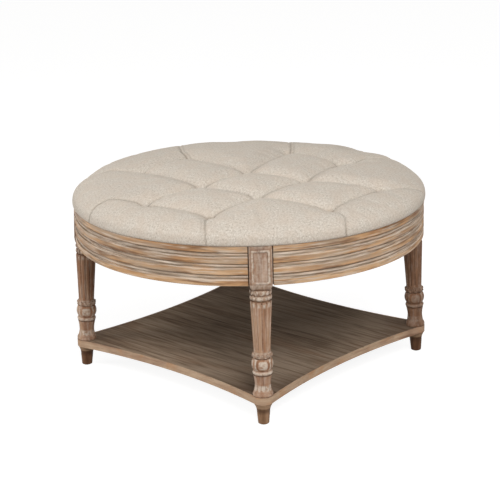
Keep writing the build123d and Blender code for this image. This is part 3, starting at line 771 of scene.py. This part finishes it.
def turned_mesh():
    """Points, faces, wax and painted shade of a leg below its block, upright, in mm about its axis."""
    angle = np.arange(AROUND) * 2 * math.pi / AROUND
    points = []
    wax = []
    deep = []
    for height, radius, share, name in leg_rows:
        cut, pale, dark = carve(name, share, angle)
        reach = radius - cut
        points.append(np.stack([reach * np.cos(angle), reach * np.sin(angle), np.full(AROUND, height)], 1))
        wax.append(pale)
        deep.append(dark)
    rows = len(points)
    points = np.concatenate(points)
    faces = []
    for row in range(rows - 1):
        start = row * AROUND
        faces += bridge(range(start, start + AROUND), range(start + AROUND, start + 2 * AROUND))
    faces.append(tuple(range(AROUND - 1, -1, -1)))
    faces.append(tuple((rows - 1) * AROUND + column for column in range(AROUND)))
    return points, faces, np.concatenate(wax), np.concatenate(deep)


turned_points, turned_faces, turned_wax, turned_deep = turned_mesh()
print("turned part:", len(turned_points), "points")

# %% [markdown]
# ## Ornaments on the rings, with Geometry Nodes
#
# Carved ornaments repeat round a ring: tablets and beads, the strands of a rope, small leaves. One
# node tree makes them all. It spreads points round a circle, sets a squashed ball on each one,
# leans it, and makes the copies real. The sizes are inputs of the tree, so all six rings use it.

# %% Ornament tree
ornament_inputs = ["Count", "Circle Radius", "Height", "Turn", "Width", "Tall", "Proud", "Lean"]


def make_ornament_tree():
    """Node tree that sets squashed balls round a circle, facing outwards."""
    group = bpy.data.node_groups.new("ring_ornaments", "GeometryNodeTree")
    face = group.interface
    face.new_socket("Geometry", in_out="INPUT", socket_type="NodeSocketGeometry")
    sockets = {}
    for name in ornament_inputs:
        kind = "NodeSocketInt" if name == "Count" else "NodeSocketFloat"
        sockets[name] = face.new_socket(name, in_out="INPUT", socket_type=kind).identifier
    face.new_socket("Geometry", in_out="OUTPUT", socket_type="NodeSocketGeometry")
    tree = Tree(group)
    given = tree.add("NodeGroupInput").outputs

    def vector(**axes):
        """Vector whose named axes come from inputs of the tree."""
        return tree.add("CombineXYZ", {axis: given[name] for axis, name in axes.items()}).outputs[0]

    circle = tree.add("GeometryNodeMeshCircle", fill_type="NONE",
                      inputs={"Vertices": given["Count"], "Radius": given["Circle Radius"]})
    place = tree.add("GeometryNodeInputPosition").outputs[0]
    outward = tree.add("FunctionNodeAlignEulerToVector", {"Vector": place}, axis="X").outputs[0]
    leaning = tree.add("FunctionNodeRotateEuler", {"Rotation": outward, "Rotate By": vector(X="Lean")},
                       space="LOCAL").outputs[0]
    ball = tree.add("GeometryNodeMeshUVSphere", {"Segments": 16, "Rings": 10, "Radius": 1.0})
    smooth_ball = tree.add("GeometryNodeSetShadeSmooth", {"Geometry": ball.outputs["Mesh"]}).outputs[0]
    size = vector(X="Proud", Y="Width", Z="Tall")
    copies = tree.add("GeometryNodeInstanceOnPoints", {
        "Points": circle.outputs["Mesh"], "Instance": smooth_ball, "Rotation": leaning, "Scale": size})
    real = tree.add("GeometryNodeRealizeInstances", {0: copies.outputs[0]}).outputs[0]
    move = tree.add("GeometryNodeTransform", {"Geometry": real, "Translation": vector(Z="Height"),
                                              "Rotation": vector(Z="Turn")}).outputs[0]
    painted = tree.add("GeometryNodeSetMaterial", {"Geometry": move, "Material": leg_wood})
    tree.add("NodeGroupOutput", {0: painted.outputs[0]})
    return group, sockets


ornament_tree, ornament_sockets = make_ornament_tree()
print("tree inputs:", ornament_inputs)


# %% Rings of ornaments
def ornament_ring(sizes):
    """Points and faces of one ring of ornaments, in mm about the leg's axis."""
    host = new_object("ring_host", bpy.data.meshes.new("ring_host"))
    build = host.modifiers.new("ornaments", "NODES")
    build.node_group = ornament_tree
    for name, value in zip(ornament_inputs, sizes):
        build[ornament_sockets[name]] = value
    made = built(host)
    points = point_array(made)
    faces = [tuple(face.vertices) for face in made.polygons]
    host.modifiers.remove(build)
    bpy.data.objects.remove(host)
    bpy.data.meshes.remove(made)
    return points, faces


def member_middle(name):
    """Height of the middle of a turned member."""
    heights = [row[0] for row in leg_rows if row[3] == name]
    return (min(heights) + max(heights)) / 2


tablet_level = member_middle("tablet_ring")
rope_level = member_middle("rope_ring")
leaf_level = member_middle("upper_bead")
# Each ring's sizes, in the order of ornament_inputs.
ornament_rings = [ornament_ring(sizes) for sizes in (
    (4, 20.6, tablet_level, 0.27, 6.6, 4.9, 2.9, 0.0),
    (4, 20.6, tablet_level, -0.27, 6.6, 4.9, 2.9, 0.0),
    (4, 20.9, tablet_level, math.pi / 4, 4.1, 4.4, 3.0, 0.0),
    (11, 20.7, rope_level, 0.1, 4.0, 6.3, 3.0, -0.62),
    (13, 19.9, leaf_level + 1.6, 0.0, 3.1, 3.6, 2.2, 0.45),
    (10, 20.1, leaf_level - 2.4, 0.3, 4.2, 2.6, 2.0, -0.2),
)]
print("ornament points:", [len(points) for points, faces in ornament_rings])

# %% [markdown]
# ## The square block
#
# The head of a leg is a square block that narrows in small steps at its foot. Its outer face has a
# raised bead in the shape of a frame round a sunk panel. Nested rectangles make that face: each one
# stands a little higher or lower than the one around it, and the faces between them are the slopes.

# %% Block mesh
apron_top_mm = 393.7
block_half = 24.0
block_cut = [(5.6, 0.0), (3.2, 3.6), (1.2, 8.4), (0.0, 12.6)]
block_tall = 102.0
block_bevel = 0.8
bevelled_from = math.radians(40)
frame_half_width = 19.8
frame_low = 13.6
frame_high = 86.6
frame_nick = 1.2
frame_margin = 0.35
# The raised frame, ring by ring from its outer foot to the sunk panel: how far the ring lies inside
# the first one, how far it stands out from the face, and its wax and painted shade.
frame_steps = [(0.0, -0.4, 0.4, 0.6), (0.3, 0.5, 0.7, 0.15), (1.0, 1.05, 0.8, 0.0),
               (2.5, 1.3, 0.85, 0.0), (4.2, 1.0, 0.8, 0.0), (5.0, 0.2, 0.7, 0.2),
               (5.4, -1.1, 0.4, 0.75), (6.4, -1.2, 0.4, 0.1), (10.0, -1.1, 0.4, 0.0)]


def block_mesh():
    """Points, faces, wax and painted shade of the block, upright, in mm about the leg's axis."""
    top = block_bottom + block_tall
    half = block_half
    low = block_bottom
    points = []
    wax = []
    deep = []
    faces = []

    def ring(corners, pale, dark):
        start = len(points)
        points.extend(corners)
        wax.extend([pale] * len(corners))
        deep.extend([dark] * len(corners))
        return [start + number for number in range(len(corners))]

    def level_square(size, height):
        return [(size, -size, height), (size, size, height), (-size, size, height), (-size, -size, height)]

    # The lowest edge of the block gets painted shade.
    steps = [ring(level_square(half - inset, low + rise), 0.5, 0.7 if rise == 0 else 0.0)
             for inset, rise in block_cut]
    body = steps[-1]
    head = ring(level_square(half, top), 0.6, 0.0)
    faces.append(tuple(reversed(steps[0])))
    for lower, upper in zip(steps, steps[1:]):
        faces += bridge(lower, upper)
    faces += bridge(body, head)[1:]
    faces.append(tuple(head))

    def upright_frame(inset, out, pale, dark):
        side = frame_half_width - inset
        bottom = low + frame_low + inset
        high = low + frame_high - inset
        nick = frame_nick
        outline = [(-side, bottom + nick), (-side + nick, bottom), (side - nick, bottom),
                   (side, bottom + nick), (side, high - nick), (side - nick, high),
                   (-side + nick, high), (-side, high - nick)]
        return ring([(half + out, y, z) for y, z in outline], pale, dark)

    rings = [upright_frame(*step) for step in frame_steps]
    wide = frame_half_width + frame_margin
    foot = low + frame_low - frame_margin
    brow = low + frame_high + frame_margin
    square = ((-wide, foot), (wide, foot), (wide, brow), (-wide, brow))
    # The flat face round the frame gets a little painted shade.
    edge = ring([(half, y, z) for y, z in square], 0.2, 0.3)
    faces += bridge([body[0], body[1], head[1], head[0]], edge)
    first = rings[0]
    for side in range(4):
        beside = edge[(side + 1) % 4]
        near, middle, far = [first[(2 * side + step) % 8] for step in (1, 2, 3)]
        faces.append((edge[side], beside, middle, near))
        faces.append((beside, far, middle))
    for outer, inner in zip(rings, rings[1:]):
        faces += bridge(outer, inner)
    faces.append(tuple(rings[-1]))
    return np.array(points, float), faces, np.array(wax), np.array(deep)


block_points, block_faces, block_wax, block_deep = block_mesh()
print("block:", len(block_points), "points", len(block_faces), "faces")

# %% [markdown]
# ## Four legs in place
#
# Each leg leans out towards the floor by two and a half degrees and turns to its own corner. The
# points are set in place in the mesh itself, so the finished piece sits at the origin, as every
# piece of the frame does. Points above the apron or below the shelf are brought to those planes.

# %% Place the legs
lean_angle = math.radians(2.5)
foot_circle = 389.6
leg_corner = {"rear_right": 45, "rear_left": 135, "front_left": 225, "front_right": 315}
# Painted light and shade for each leg: above 0 the leg is darkened as if in shade, below 0 its cuts are
# left paler as if lit.
leg_light_and_shade = {"rear_right": 0.60, "rear_left": 0.15, "front_left": -0.35, "front_right": 0.0}
# Wax for each leg, more on the lit legs: partly real wax, partly painted light.
leg_wax_and_light = {"rear_right": 0.5, "rear_left": 0.6, "front_left": 0.85, "front_right": 1.0}
sharp_from = math.radians(48)


def in_place(points, turn):
    """Points of an upright leg, in mm, leant and turned to its corner, in metres."""
    x = foot_circle + points[:, 0] * math.cos(lean_angle) - points[:, 2] * math.sin(lean_angle)
    z = points[:, 0] * math.sin(lean_angle) + points[:, 2] * math.cos(lean_angle)
    z = np.clip(z, shelf_top, apron_top_mm)
    y = points[:, 1]
    cos, sin = math.cos(turn), math.sin(turn)
    return np.stack([x * cos - y * sin, x * sin + y * cos, z], 1) * MM


def put_on_root(name, mesh):
    """Object at the origin that rides on the table's one body."""
    piece = new_object(name, mesh)
    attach(piece, "root")
    return piece


leg_shapes = [(turned_points, turned_faces, turned_wax, turned_deep)]
for points, faces in ornament_rings:
    out = np.hypot(points[:, 0], points[:, 1])
    crest = smooth(out, 20.5, 23.0)
    # Ornaments get more wax towards their crests, and painted shade towards their foot, where they meet the
    # ring.
    leg_shapes.append((points, faces, 0.30 + 0.5 * crest, 0.6 * (1 - crest)))


def bevelled_block():
    """The block as a plain mesh with its sharp edges eased."""
    mesh = bpy.data.meshes.new("block")
    mesh.from_pydata([tuple(p) for p in block_points], [], block_faces)
    add_values(mesh, "wax", block_wax)
    add_values(mesh, "deep", block_deep)
    holder = new_object("block", mesh)
    ease = holder.modifiers.new("ease", "BEVEL")
    ease.width = block_bevel
    ease.segments = 2
    ease.limit_method = "ANGLE"
    ease.angle_limit = bevelled_from
    made = built(holder)
    faces = [tuple(face.vertices) for face in made.polygons]
    bpy.data.objects.remove(holder)
    return point_array(made), faces, point_values(made, "wax"), point_values(made, "deep")


leg_shapes.append(bevelled_block())
upright_leg, wax_share, darkness = [np.concatenate([item[part] for item in leg_shapes])
                                    for part in (0, 2, 3)]
all_faces = []
offset = 0
for points, faces, pale, dark in leg_shapes:
    all_faces += [tuple(index + offset for index in face) for face in faces]
    offset += len(points)
for corner, degrees in leg_corner.items():
    mesh = bpy.data.meshes.new("carved_leg_" + corner)
    mesh.from_pydata(in_place(upright_leg, math.radians(degrees)).tolist(), [], all_faces)
    add_values(mesh, "wax", leg_wax_and_light[corner] * wax_share)
    # Painted shade darkens the whole of a leg that stands in shade; below 0 it is painted light, which
    # leaves the cuts of a lit leg paler.
    add_values(mesh, "deep", leg_light_and_shade[corner] + darkness * (1 - leg_light_and_shade[corner]))
    mesh.materials.append(leg_wood)
    mesh.shade_smooth()
    mesh.set_sharp_from_angle(angle=sharp_from)
    piece = put_on_root("carved_leg_" + corner, mesh)
    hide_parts("leg_" + corner)
print("points in a leg:", offset)

# %% [markdown]
# ## The tufted seat
#
# The seat is a crown of foam and wadding under linen, drawn down at twelve blind tufts. Between
# neighbouring tufts the cloth folds into a crease that is sharp at the tuft and opens out half way.
# The crown follows the same rule as in the solids, and the tufts stand where the photograph shows
# them. Cloth simulation then swells the pillows and lets the linen find its own wrinkles, held at the
# tufts and under the rim. The sharp folds are pressed in last, where the mesh is finest.

# %% Plan of the tufts
seat_radius = 400.6 * MM
bulge_level = 403.9 * MM
crown_rise = 64.5 * MM
deck_low = 394.9 * MM
tufts = [(30, -35, 1.0), (12, -172, 1.0), (160, -148, 1.0), (150, -291, 0.7), (317, -95, 0.7),
         (166, 4, 1.0), (123, 183, 1.0), (307, 95, 0.6), (-22, -312, 0.6), (-210, -142, 1.0),
         (-182, -4, 1.0), (-31, 182, 1.0)]
tuft_points = np.array([(x, y) for x, y, draw in tufts]) * MM
tuft_draw = np.array([draw for x, y, draw in tufts])
creases = [(0, 1), (0, 5), (0, 10), (0, 11), (1, 2), (1, 8), (1, 9), (2, 3), (2, 4), (2, 5), (3, 8),
           (4, 7), (5, 6), (5, 7), (6, 11), (9, 10)]


def laid_flat(degrees, run):
    """Point of the cloth laid flat: a direction, and how far it runs from the middle, in mm."""
    turn = math.radians(degrees)
    return np.array([run * math.cos(turn), run * math.sin(turn)]) * MM


# Pleats from the outer tufts to the rim: tuft, way-points, depth of the valley, strength of the
# line at its start and at the rim, and whether a second line runs beside it.
rim_pleats = [
    (8, [(-102.0, 333), (-107.7, 350), (-109.0, 381), (-107.8, 406), (-107.5, 450)], 0.50, 0.7, 1.0, False),
    (3, [(-63.3, 349), (-61.8, 387), (-61.0, 415), (-61.0, 450)], 0.45, 0.8, 0.5, True),
    (4, [(-16.0, 348), (-16.0, 380), (-17.6, 401), (-18.1, 415), (-18.2, 450)], 0.48, 0.3, 1.0, False),
    (7, [(18.0, 344), (24.0, 372), (29.5, 404), (30.5, 450)], 0.50, 0.1, 0.7, False),
    (6, [(55.5, 248), (62.5, 295), (66.0, 350), (67.0, 450)], 0.85, 0.5, 0.3, False),
    (11, [(102.1, 206), (112.4, 318), (117.0, 395), (118.0, 450)], 0.40, 0.9, 0.6, True),
    (10, [(174.5, 234), (165.5, 302), (158.0, 375), (156.0, 450)], 0.40, 1.0, 0.8, True),
    (9, [(-147.0, 288), (-151.0, 330), (-153.0, 450)], 0.60, 0.6, 0.2, False),
]
# Slack places where the wadding has settled: direction, run from the middle, depth, spread, in mm.
slack_places = [(104.0, 335, 3.5, 38), (138.0, 335, 4.0, 45), (117.0, 330, 4.5, 65), (82.0, 350, 6.5, 36),
                (68.0, 357, -2.0, 22), (208.0, 375, 6.0, 45)]


# How the cloth folds, in metres: how far a fold stays crisp and a pleat open from its tuft, how wide
# their soft valleys are, and how far off a pleat's second line and its raised cloth lie.
crisp_run = 0.045
open_run = 0.030
crease_width = 0.017
pleat_width = 0.016
second_line_off = 8.0 * MM
double_ridge_off = 4.2 * MM
ridge_off = 3.5 * MM


def crown_height(radius):
    """Height of the plain crown over a radius."""
    share = np.clip(radius / seat_radius, 0, 1)
    return bulge_level + crown_rise * (1 - share ** 1.85) ** (1 / 2.4)


def along_line(points, start, end):
    """Distance of points from a line, run along it from its start, its length, and the side."""
    along = end - start
    length = np.linalg.norm(along)
    share = np.clip(((points - start) @ along) / length ** 2, 0, 1)
    nearest = start + share[:, None] * along
    away = np.linalg.norm(points - nearest, axis=1)
    side = np.sign((points[:, 0] - start[0]) * along[1] - (points[:, 1] - start[1]) * along[0])
    return away, share * length, length, side


def along_pleat(points, stops):
    """The same for a bent line through several stops: distance, run, whole length and side."""
    best = np.full(len(points), 9.0)
    run = np.zeros(len(points))
    side = np.ones(len(points))
    done = 0.0
    for start, end in zip(stops, stops[1:]):
        away, part, length, hand = along_line(points, start, end)
        nearer = away < best
        best = np.where(nearer, away, best)
        run = np.where(nearer, done + part, run)
        side = np.where(nearer, hand, side)
        done += length
    return best, run, done, side


def crease_field(points):
    """Depth of the soft valleys, strength of the sharp folds, and raised pleats, on flat cloth."""
    valley = np.zeros(len(points))
    fold = np.zeros(len(points))
    raised = np.zeros(len(points))
    for first, second in creases:
        away, run, length, _ = along_line(points, tuft_points[first], tuft_points[second])
        to_tuft = np.minimum(run, length - run)
        crisp = 0.30 + 0.70 * np.exp(-to_tuft / crisp_run)
        soft = 1.0 * MM + 7 * MM * (1 - crisp)
        spread = np.sqrt(away ** 2 + soft ** 2) - soft
        valley = np.maximum(valley, np.exp(-spread / crease_width))
        fold = np.maximum(fold, (crisp * 1.25 - 0.25) * np.exp(-(away / (2.0 * MM)) ** 1.4))
    for index, way, depth, first, last, double in rim_pleats:
        stops = [tuft_points[index]] + [laid_flat(degrees, run) for degrees, run in way]
        away, run, length, side = along_pleat(points, stops)
        share = run / length
        strength = first + (last - first) * share
        opening = np.exp(-run / open_run)
        valley = np.maximum(valley, np.maximum(depth, opening) * np.exp(-away / pleat_width))
        fold = np.maximum(fold, strength * np.exp(-(away / (1.7 * MM)) ** 1.6))
        beyond = away * side
        if double:
            second_line = np.exp(-(np.abs(beyond - second_line_off) / (1.8 * MM)) ** 1.6)
            fold = np.maximum(fold, 0.45 * strength * (1 - 0.5 * share) * second_line)
            raised = np.maximum(raised, strength * np.exp(-((beyond - double_ridge_off) / (2.6 * MM)) ** 2))
        else:
            ridge = np.exp(-((beyond - ridge_off) / (3.0 * MM)) ** 2)
            raised = np.maximum(raised, 0.6 * strength * ridge)
    return valley, fold, raised


def draw_down(points):
    """How far the tufts pull the crown down on flat cloth, in metres."""
    pull = np.zeros(len(points))
    for place, draw in zip(tuft_points, tuft_draw):
        away = np.linalg.norm(points - place, axis=1)
        funnel = 9 * MM * np.exp(-away / 0.028) + 8 * MM * np.exp(-(away / 0.014) ** 2)
        pull = np.maximum(pull, draw * funnel)
    return pull


def settled(points):
    """How far the slack places lie under the crown on flat cloth, in metres."""
    low = np.zeros(len(points))
    for degrees, run, depth, wide in slack_places:
        away = np.linalg.norm(points - laid_flat(degrees, run), axis=1)
        low += depth * MM * np.exp(-(away / (wide * MM)) ** 2)
    return low


print("tufts:", len(tufts), "creases:", len(creases) + len(rim_pleats))


# %% Seat mesh
seat_rings = 72
# Below the rim: round the hem, in under the deck's edge, up and over the deck. Radius and height, in mm.
hem_profile = [(401.0, 400.4), (400.6, 397.0), (399.4, 394.6), (397.4, 393.85), (386, 393.75),
               (372, 393.7), (360, 393.7), (352.6, 393.75), (352.0, 394.3), (352.6, 394.8),
               (372, 394.85), (392.2, 394.9), (392.35, 400.9), (392.2, 407.1), (360, 407.15),
               (300, 407.2), (200, 407.2), (100, 407.2), (30, 407.2)]
valley_depth = 12.5 * MM
crown_offset = 3.5 * MM
softness_mm = 1.2
rim_tilt = math.radians(78)
rim_fade = 0.45
def seat_profile(count):
    """Radius and height of rings from the middle of the crown to its widest place, evenly spaced."""
    turn = np.linspace(0, math.pi / 2, 2000)
    radius = seat_radius * np.sin(turn)
    height = crown_height(radius)
    run = np.concatenate([[0], np.cumsum(np.hypot(np.diff(radius), np.diff(height)))])
    steps = np.linspace(0, run[-1], count + 1)
    return np.interp(steps, run, radius), np.interp(steps, run, height), steps


def plan_angle(u, v):
    """Direction of a point of a square grid, once its squares are bent into rings."""
    if u == v == 0:
        return 0.0
    if abs(u) >= abs(v):
        return math.pi / 4 * v / u + (0 if u > 0 else math.pi)
    return math.pi / 2 - math.pi / 4 * u / v + (0 if v > 0 else math.pi)


def seat_mesh(rings):
    """Closed shell of cover, wadding and foam: crown, rim, hem, and the hollow over the deck."""
    radius, height, run = seat_profile(rings)
    steps = range(-rings, rings + 1)
    size = len(steps)
    grid = np.arange(size * size).reshape(size, size)
    plan = np.array([plan_angle(column / rings, row / rings) for row in steps for column in steps])
    ring_of = np.array([max(abs(column), abs(row)) for row in steps for column in steps])
    reach = radius[ring_of]
    flat = np.stack([reach * np.cos(plan), reach * np.sin(plan)], 1)
    faces = []
    for row in range(size - 1):
        for column in range(size - 1):
            faces.append((grid[row, column], grid[row, column + 1],
                          grid[row + 1, column + 1], grid[row + 1, column]))
    points = np.column_stack([flat, height[ring_of]])
    cloth = np.stack([run[ring_of] * np.cos(plan), run[ring_of] * np.sin(plan)], 1)
    edge = [*grid[0, :-1], *grid[:-1, -1], *grid[-1, :0:-1], *grid[:0:-1, 0]]
    angles = plan[edge]
    previous = edge
    all_points = [points]
    all_cloth = [cloth]
    start = len(points)
    travel = run[-1]
    before = (radius[-1], height[-1])
    for wide, high in hem_profile:
        wide *= MM
        high *= MM
        travel += math.hypot(wide - before[0], high - before[1])
        before = (wide, high)
        level = np.full(len(edge), high)
        all_points.append(np.column_stack([wide * np.cos(angles), wide * np.sin(angles), level]))
        all_cloth.append(np.stack([travel * np.cos(angles), travel * np.sin(angles)], 1))
        current = list(range(start, start + len(edge)))
        start += len(edge)
        for number in range(len(edge)):
            beside = (number + 1) % len(edge)
            faces.append((previous[number], current[number], current[beside], previous[beside]))
        previous = current
    return np.concatenate(all_points), faces, np.concatenate(all_cloth), len(ring_of)


def shape_crown(points, cloth, crown_count):
    """Crown points drawn down by the tufts and valleys, along the crown's own slope."""
    crown = points[:crown_count]
    flat = crown[:, :2]
    reach = np.linalg.norm(flat, axis=1)
    valley = crease_field(cloth[:crown_count])[0]
    sink = draw_down(cloth[:crown_count]) + valley_depth * valley - crown_offset
    sink = np.log1p(np.exp(sink / (softness_mm * MM))) * softness_mm * MM + settled(cloth[:crown_count])
    tilt = np.clip((reach / seat_radius) ** 10, 0, 1) * rim_tilt
    unit = flat / np.maximum(reach, 1e-9)[:, None]
    sink = sink * (1 - rim_fade * smooth(reach, 0.385, seat_radius))
    crown[:, 0] -= unit[:, 0] * np.sin(tilt) * sink
    crown[:, 1] -= unit[:, 1] * np.sin(tilt) * sink
    crown[:, 2] -= np.cos(tilt) * sink
    return points


seat_points, seat_faces, seat_cloth, crown_count = seat_mesh(seat_rings)
seat_points = shape_crown(seat_points, seat_cloth, crown_count)
seat = bpy.data.meshes.new("tufted_seat")
seat.from_pydata(seat_points.tolist(), [], seat_faces)
add_values(seat, "cloth_x", seat_cloth[:, 0])
add_values(seat, "cloth_y", seat_cloth[:, 1])
print("seat:", len(seat.vertices), "points, height", round(float(seat_points[:, 2].max()), 4))

# %% [markdown]
# ## Swell the pillows with cloth
#
# The linen is held where the real one is: at the tufts, by the twines, and all round the rim, by
# staples. Inside, a light pressure stands for the wadding. The cloth is cut a little larger than
# the form under it, so it has room to pucker near the tufts. How far a point may move is capped.

# %% Cloth simulation
seat_holder = new_object("tufted_seat", seat)
cloth_frames = 16
cloth_cap = 4 * MM
cloth_share = 0.6
rim_free, rim_held = 0.388, 0.398
tuft_held, tuft_free = 0.006, 0.020
valley_hold = 0.55
cloth_settings = {
    "quality": 6, "mass": 0.25, "tension_stiffness": 14, "compression_stiffness": 14,
    "shear_stiffness": 6, "bending_stiffness": 0.4, "vertex_group_mass": "held",
    "pin_stiffness": 1.0, "use_pressure": True, "uniform_pressure_force": 3.2, "shrink_min": -0.025,
}


def swell_seat(holder, cap):
    """Runs the cloth, moves each point a capped part of the way, and returns the whole ways."""
    mesh = holder.data
    start = point_array(mesh)
    reach = np.linalg.norm(start[:, :2], axis=1)
    hold = np.zeros(len(start))
    hold[crown_count:] = 1.0
    hold[:crown_count] = smooth(reach[:crown_count], rim_free, rim_held)
    for place in tuft_points:
        away = np.linalg.norm(seat_cloth - place, axis=1)
        hold = np.maximum(hold, 1 - smooth(away, tuft_held, tuft_free))
    valley = crease_field(seat_cloth)[0]
    hold = np.maximum(hold, valley_hold * smooth(valley, 0.80, 0.97))
    group = holder.vertex_groups.new(name="held")
    for index, weight in enumerate(hold):
        if weight > 0.01:
            group.add([index], float(weight), "REPLACE")
    cloth = holder.modifiers.new("linen", "CLOTH")
    for key, value in cloth_settings.items():
        setattr(cloth.settings, key, value)
    cloth.settings.effector_weights.gravity = 0
    cloth.collision_settings.use_collision = False
    scene = bpy.context.scene
    cloth.point_cache.frame_start = 1
    cloth.point_cache.frame_end = cloth_frames
    for number in range(1, cloth_frames + 1):
        scene.frame_set(number)
    ready = holder.evaluated_get(bpy.context.evaluated_depsgraph_get())
    moved = point_array(ready.data) - start
    holder.modifiers.remove(cloth)
    scene.frame_set(1)
    length = np.linalg.norm(moved, axis=1)
    moved *= np.minimum(cloth_share, cap / np.maximum(length, 1e-9))[:, None]
    moved[crown_count:] = 0
    mesh.vertices.foreach_set("co", (start + moved).ravel())
    return length


travel = swell_seat(seat_holder, cloth_cap)
print("cloth moved up to", round(float(travel.max()) / MM, 1), "mm, mean",
      round(float(travel[:crown_count].mean()) / MM, 2), "mm")

# %% Finer mesh and sharp folds
uv = seat.uv_layers.new(name="cloth")
corner_points = np.zeros(len(seat.loops), int)
seat.loops.foreach_get("vertex_index", corner_points)
uv.data.foreach_set("uv", seat_cloth[corner_points].astype(np.float32).ravel())
finer = seat_holder.modifiers.new("finer", "SUBSURF")
finer.levels = 1
finer.render_levels = 1
finer.boundary_smooth = "PRESERVE_CORNERS"
seat_fine = built(seat_holder)
seat_fine.name = "tufted_seat_fine"
bpy.data.objects.remove(seat_holder)
shape = bmesh.new()
shape.from_mesh(seat_fine)
open_edges = [edge for edge in shape.edges if edge.is_boundary]
bmesh.ops.holes_fill(shape, edges=open_edges, sides=0)
print("open edges closed:", len(open_edges), "left:", sum(edge.is_boundary for edge in shape.edges))
shape.to_mesh(seat_fine)
shape.free()


fold_depth = 2.2 * MM
dimple_depth = 4.0 * MM
pleat_rise = 1.3 * MM
def press_folds(mesh):
    """Presses the sharp folds and dimples into the fine mesh, and notes where they are."""
    co = point_array(mesh)
    normal = point_array(mesh, "normal")
    flat = np.stack([point_values(mesh, "cloth_x"), point_values(mesh, "cloth_y")], 1)
    reach = np.linalg.norm(co[:, :2], axis=1)
    outside = smooth(co[:, 2], 0.3940, 0.3965) * ((reach > 0.3935) | (co[:, 2] > 0.4085))
    _, fold, raised = crease_field(flat)
    dimple = np.zeros(len(co))
    for place, draw in zip(tuft_points, tuft_draw):
        away = np.linalg.norm(flat - place, axis=1)
        dimple = np.maximum(dimple, draw * np.exp(-(away / 0.007) ** 2))
    depth = (fold_depth * fold + dimple_depth * dimple - pleat_rise * raised * (1 - fold)) * outside
    co -= normal * depth[:, None]
    mesh.vertices.foreach_set("co", co.ravel())
    # The fold value, with the tuft dimples, is read by the linen as painted shade.
    add_values(mesh, "fold", np.clip(fold * 0.95 + dimple * 0.6, 0, 1) * outside)
    return len(co)


count = press_folds(seat_fine)
seat_fine.materials.append(linen)
seat_fine.shade_smooth()
cushion = put_on_root("tufted_seat", seat_fine)
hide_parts("seat_cover", "foam_pad")
print("fine seat:", count, "points")

# %% [markdown]
# ## Dust cover
#
# A round of thin black cloth closes the underside of the seat, cut back where the corner blocks
# stand and stapled to the deck. Real ones sag a little between the staples. It is a sheet, made
# from rings of points that stop at the blocks.

# %% Dust cover
dust_radius = 345 * MM
dust_notch_low = 328 * MM
dust_notch_half = 97 * MM
dust_sag = 1.6 * MM
dust_gap = 0.3 * MM
dust_ripple = 0.25 * MM


def dust_reach(angle):
    """Radius of the cloth's edge at an angle: its round, cut back straight at the corner blocks."""
    off = (angle - math.pi / 4) % (math.pi / 2)
    off = min(off, math.pi / 2 - off)
    reach = dust_radius
    if dust_radius * math.cos(off) > dust_notch_low and dust_radius * math.sin(off) < dust_notch_half:
        reach = dust_notch_low / math.cos(off)
    return min(reach, dust_radius)


def dust_mesh():
    """Round sheet of cloth, ring by ring out to the edge, and its area."""
    rings = 40
    around = 288
    points = [(0, 0, deck_low - dust_sag)]
    faces = []
    angles = [2 * math.pi * number / around for number in range(around)]
    reach = [dust_reach(angle) for angle in angles]
    for ring in range(1, rings + 1):
        share = ring / rings
        sag = dust_sag * (1 - share ** 4) + dust_gap
        for angle, far in zip(angles, reach):
            ripple = dust_ripple * math.sin(9 * angle) * share ** 3 * (1 - share) * 4
            across = share * far
            points.append((across * math.cos(angle), across * math.sin(angle), deck_low - sag + ripple))
    for number in range(around):
        faces.append((0, 1 + (number + 1) % around, 1 + number))
    for ring in range(rings - 1):
        start = 1 + ring * around
        faces += bridge(range(start, start + around), range(start + around, start + 2 * around))
    mesh = bpy.data.meshes.new("dust_cloth")
    mesh.from_pydata(points, [], faces)
    mesh.materials.append(black_cloth)
    mesh.shade_smooth()
    area = sum(face.area for face in mesh.polygons)
    return mesh, area


dust, dust_area = dust_mesh()
dust_cloth = put_on_root("dust_cloth", dust)
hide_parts("dust_cover")
print("dust cover:", round(dust_area, 4), "square metres")
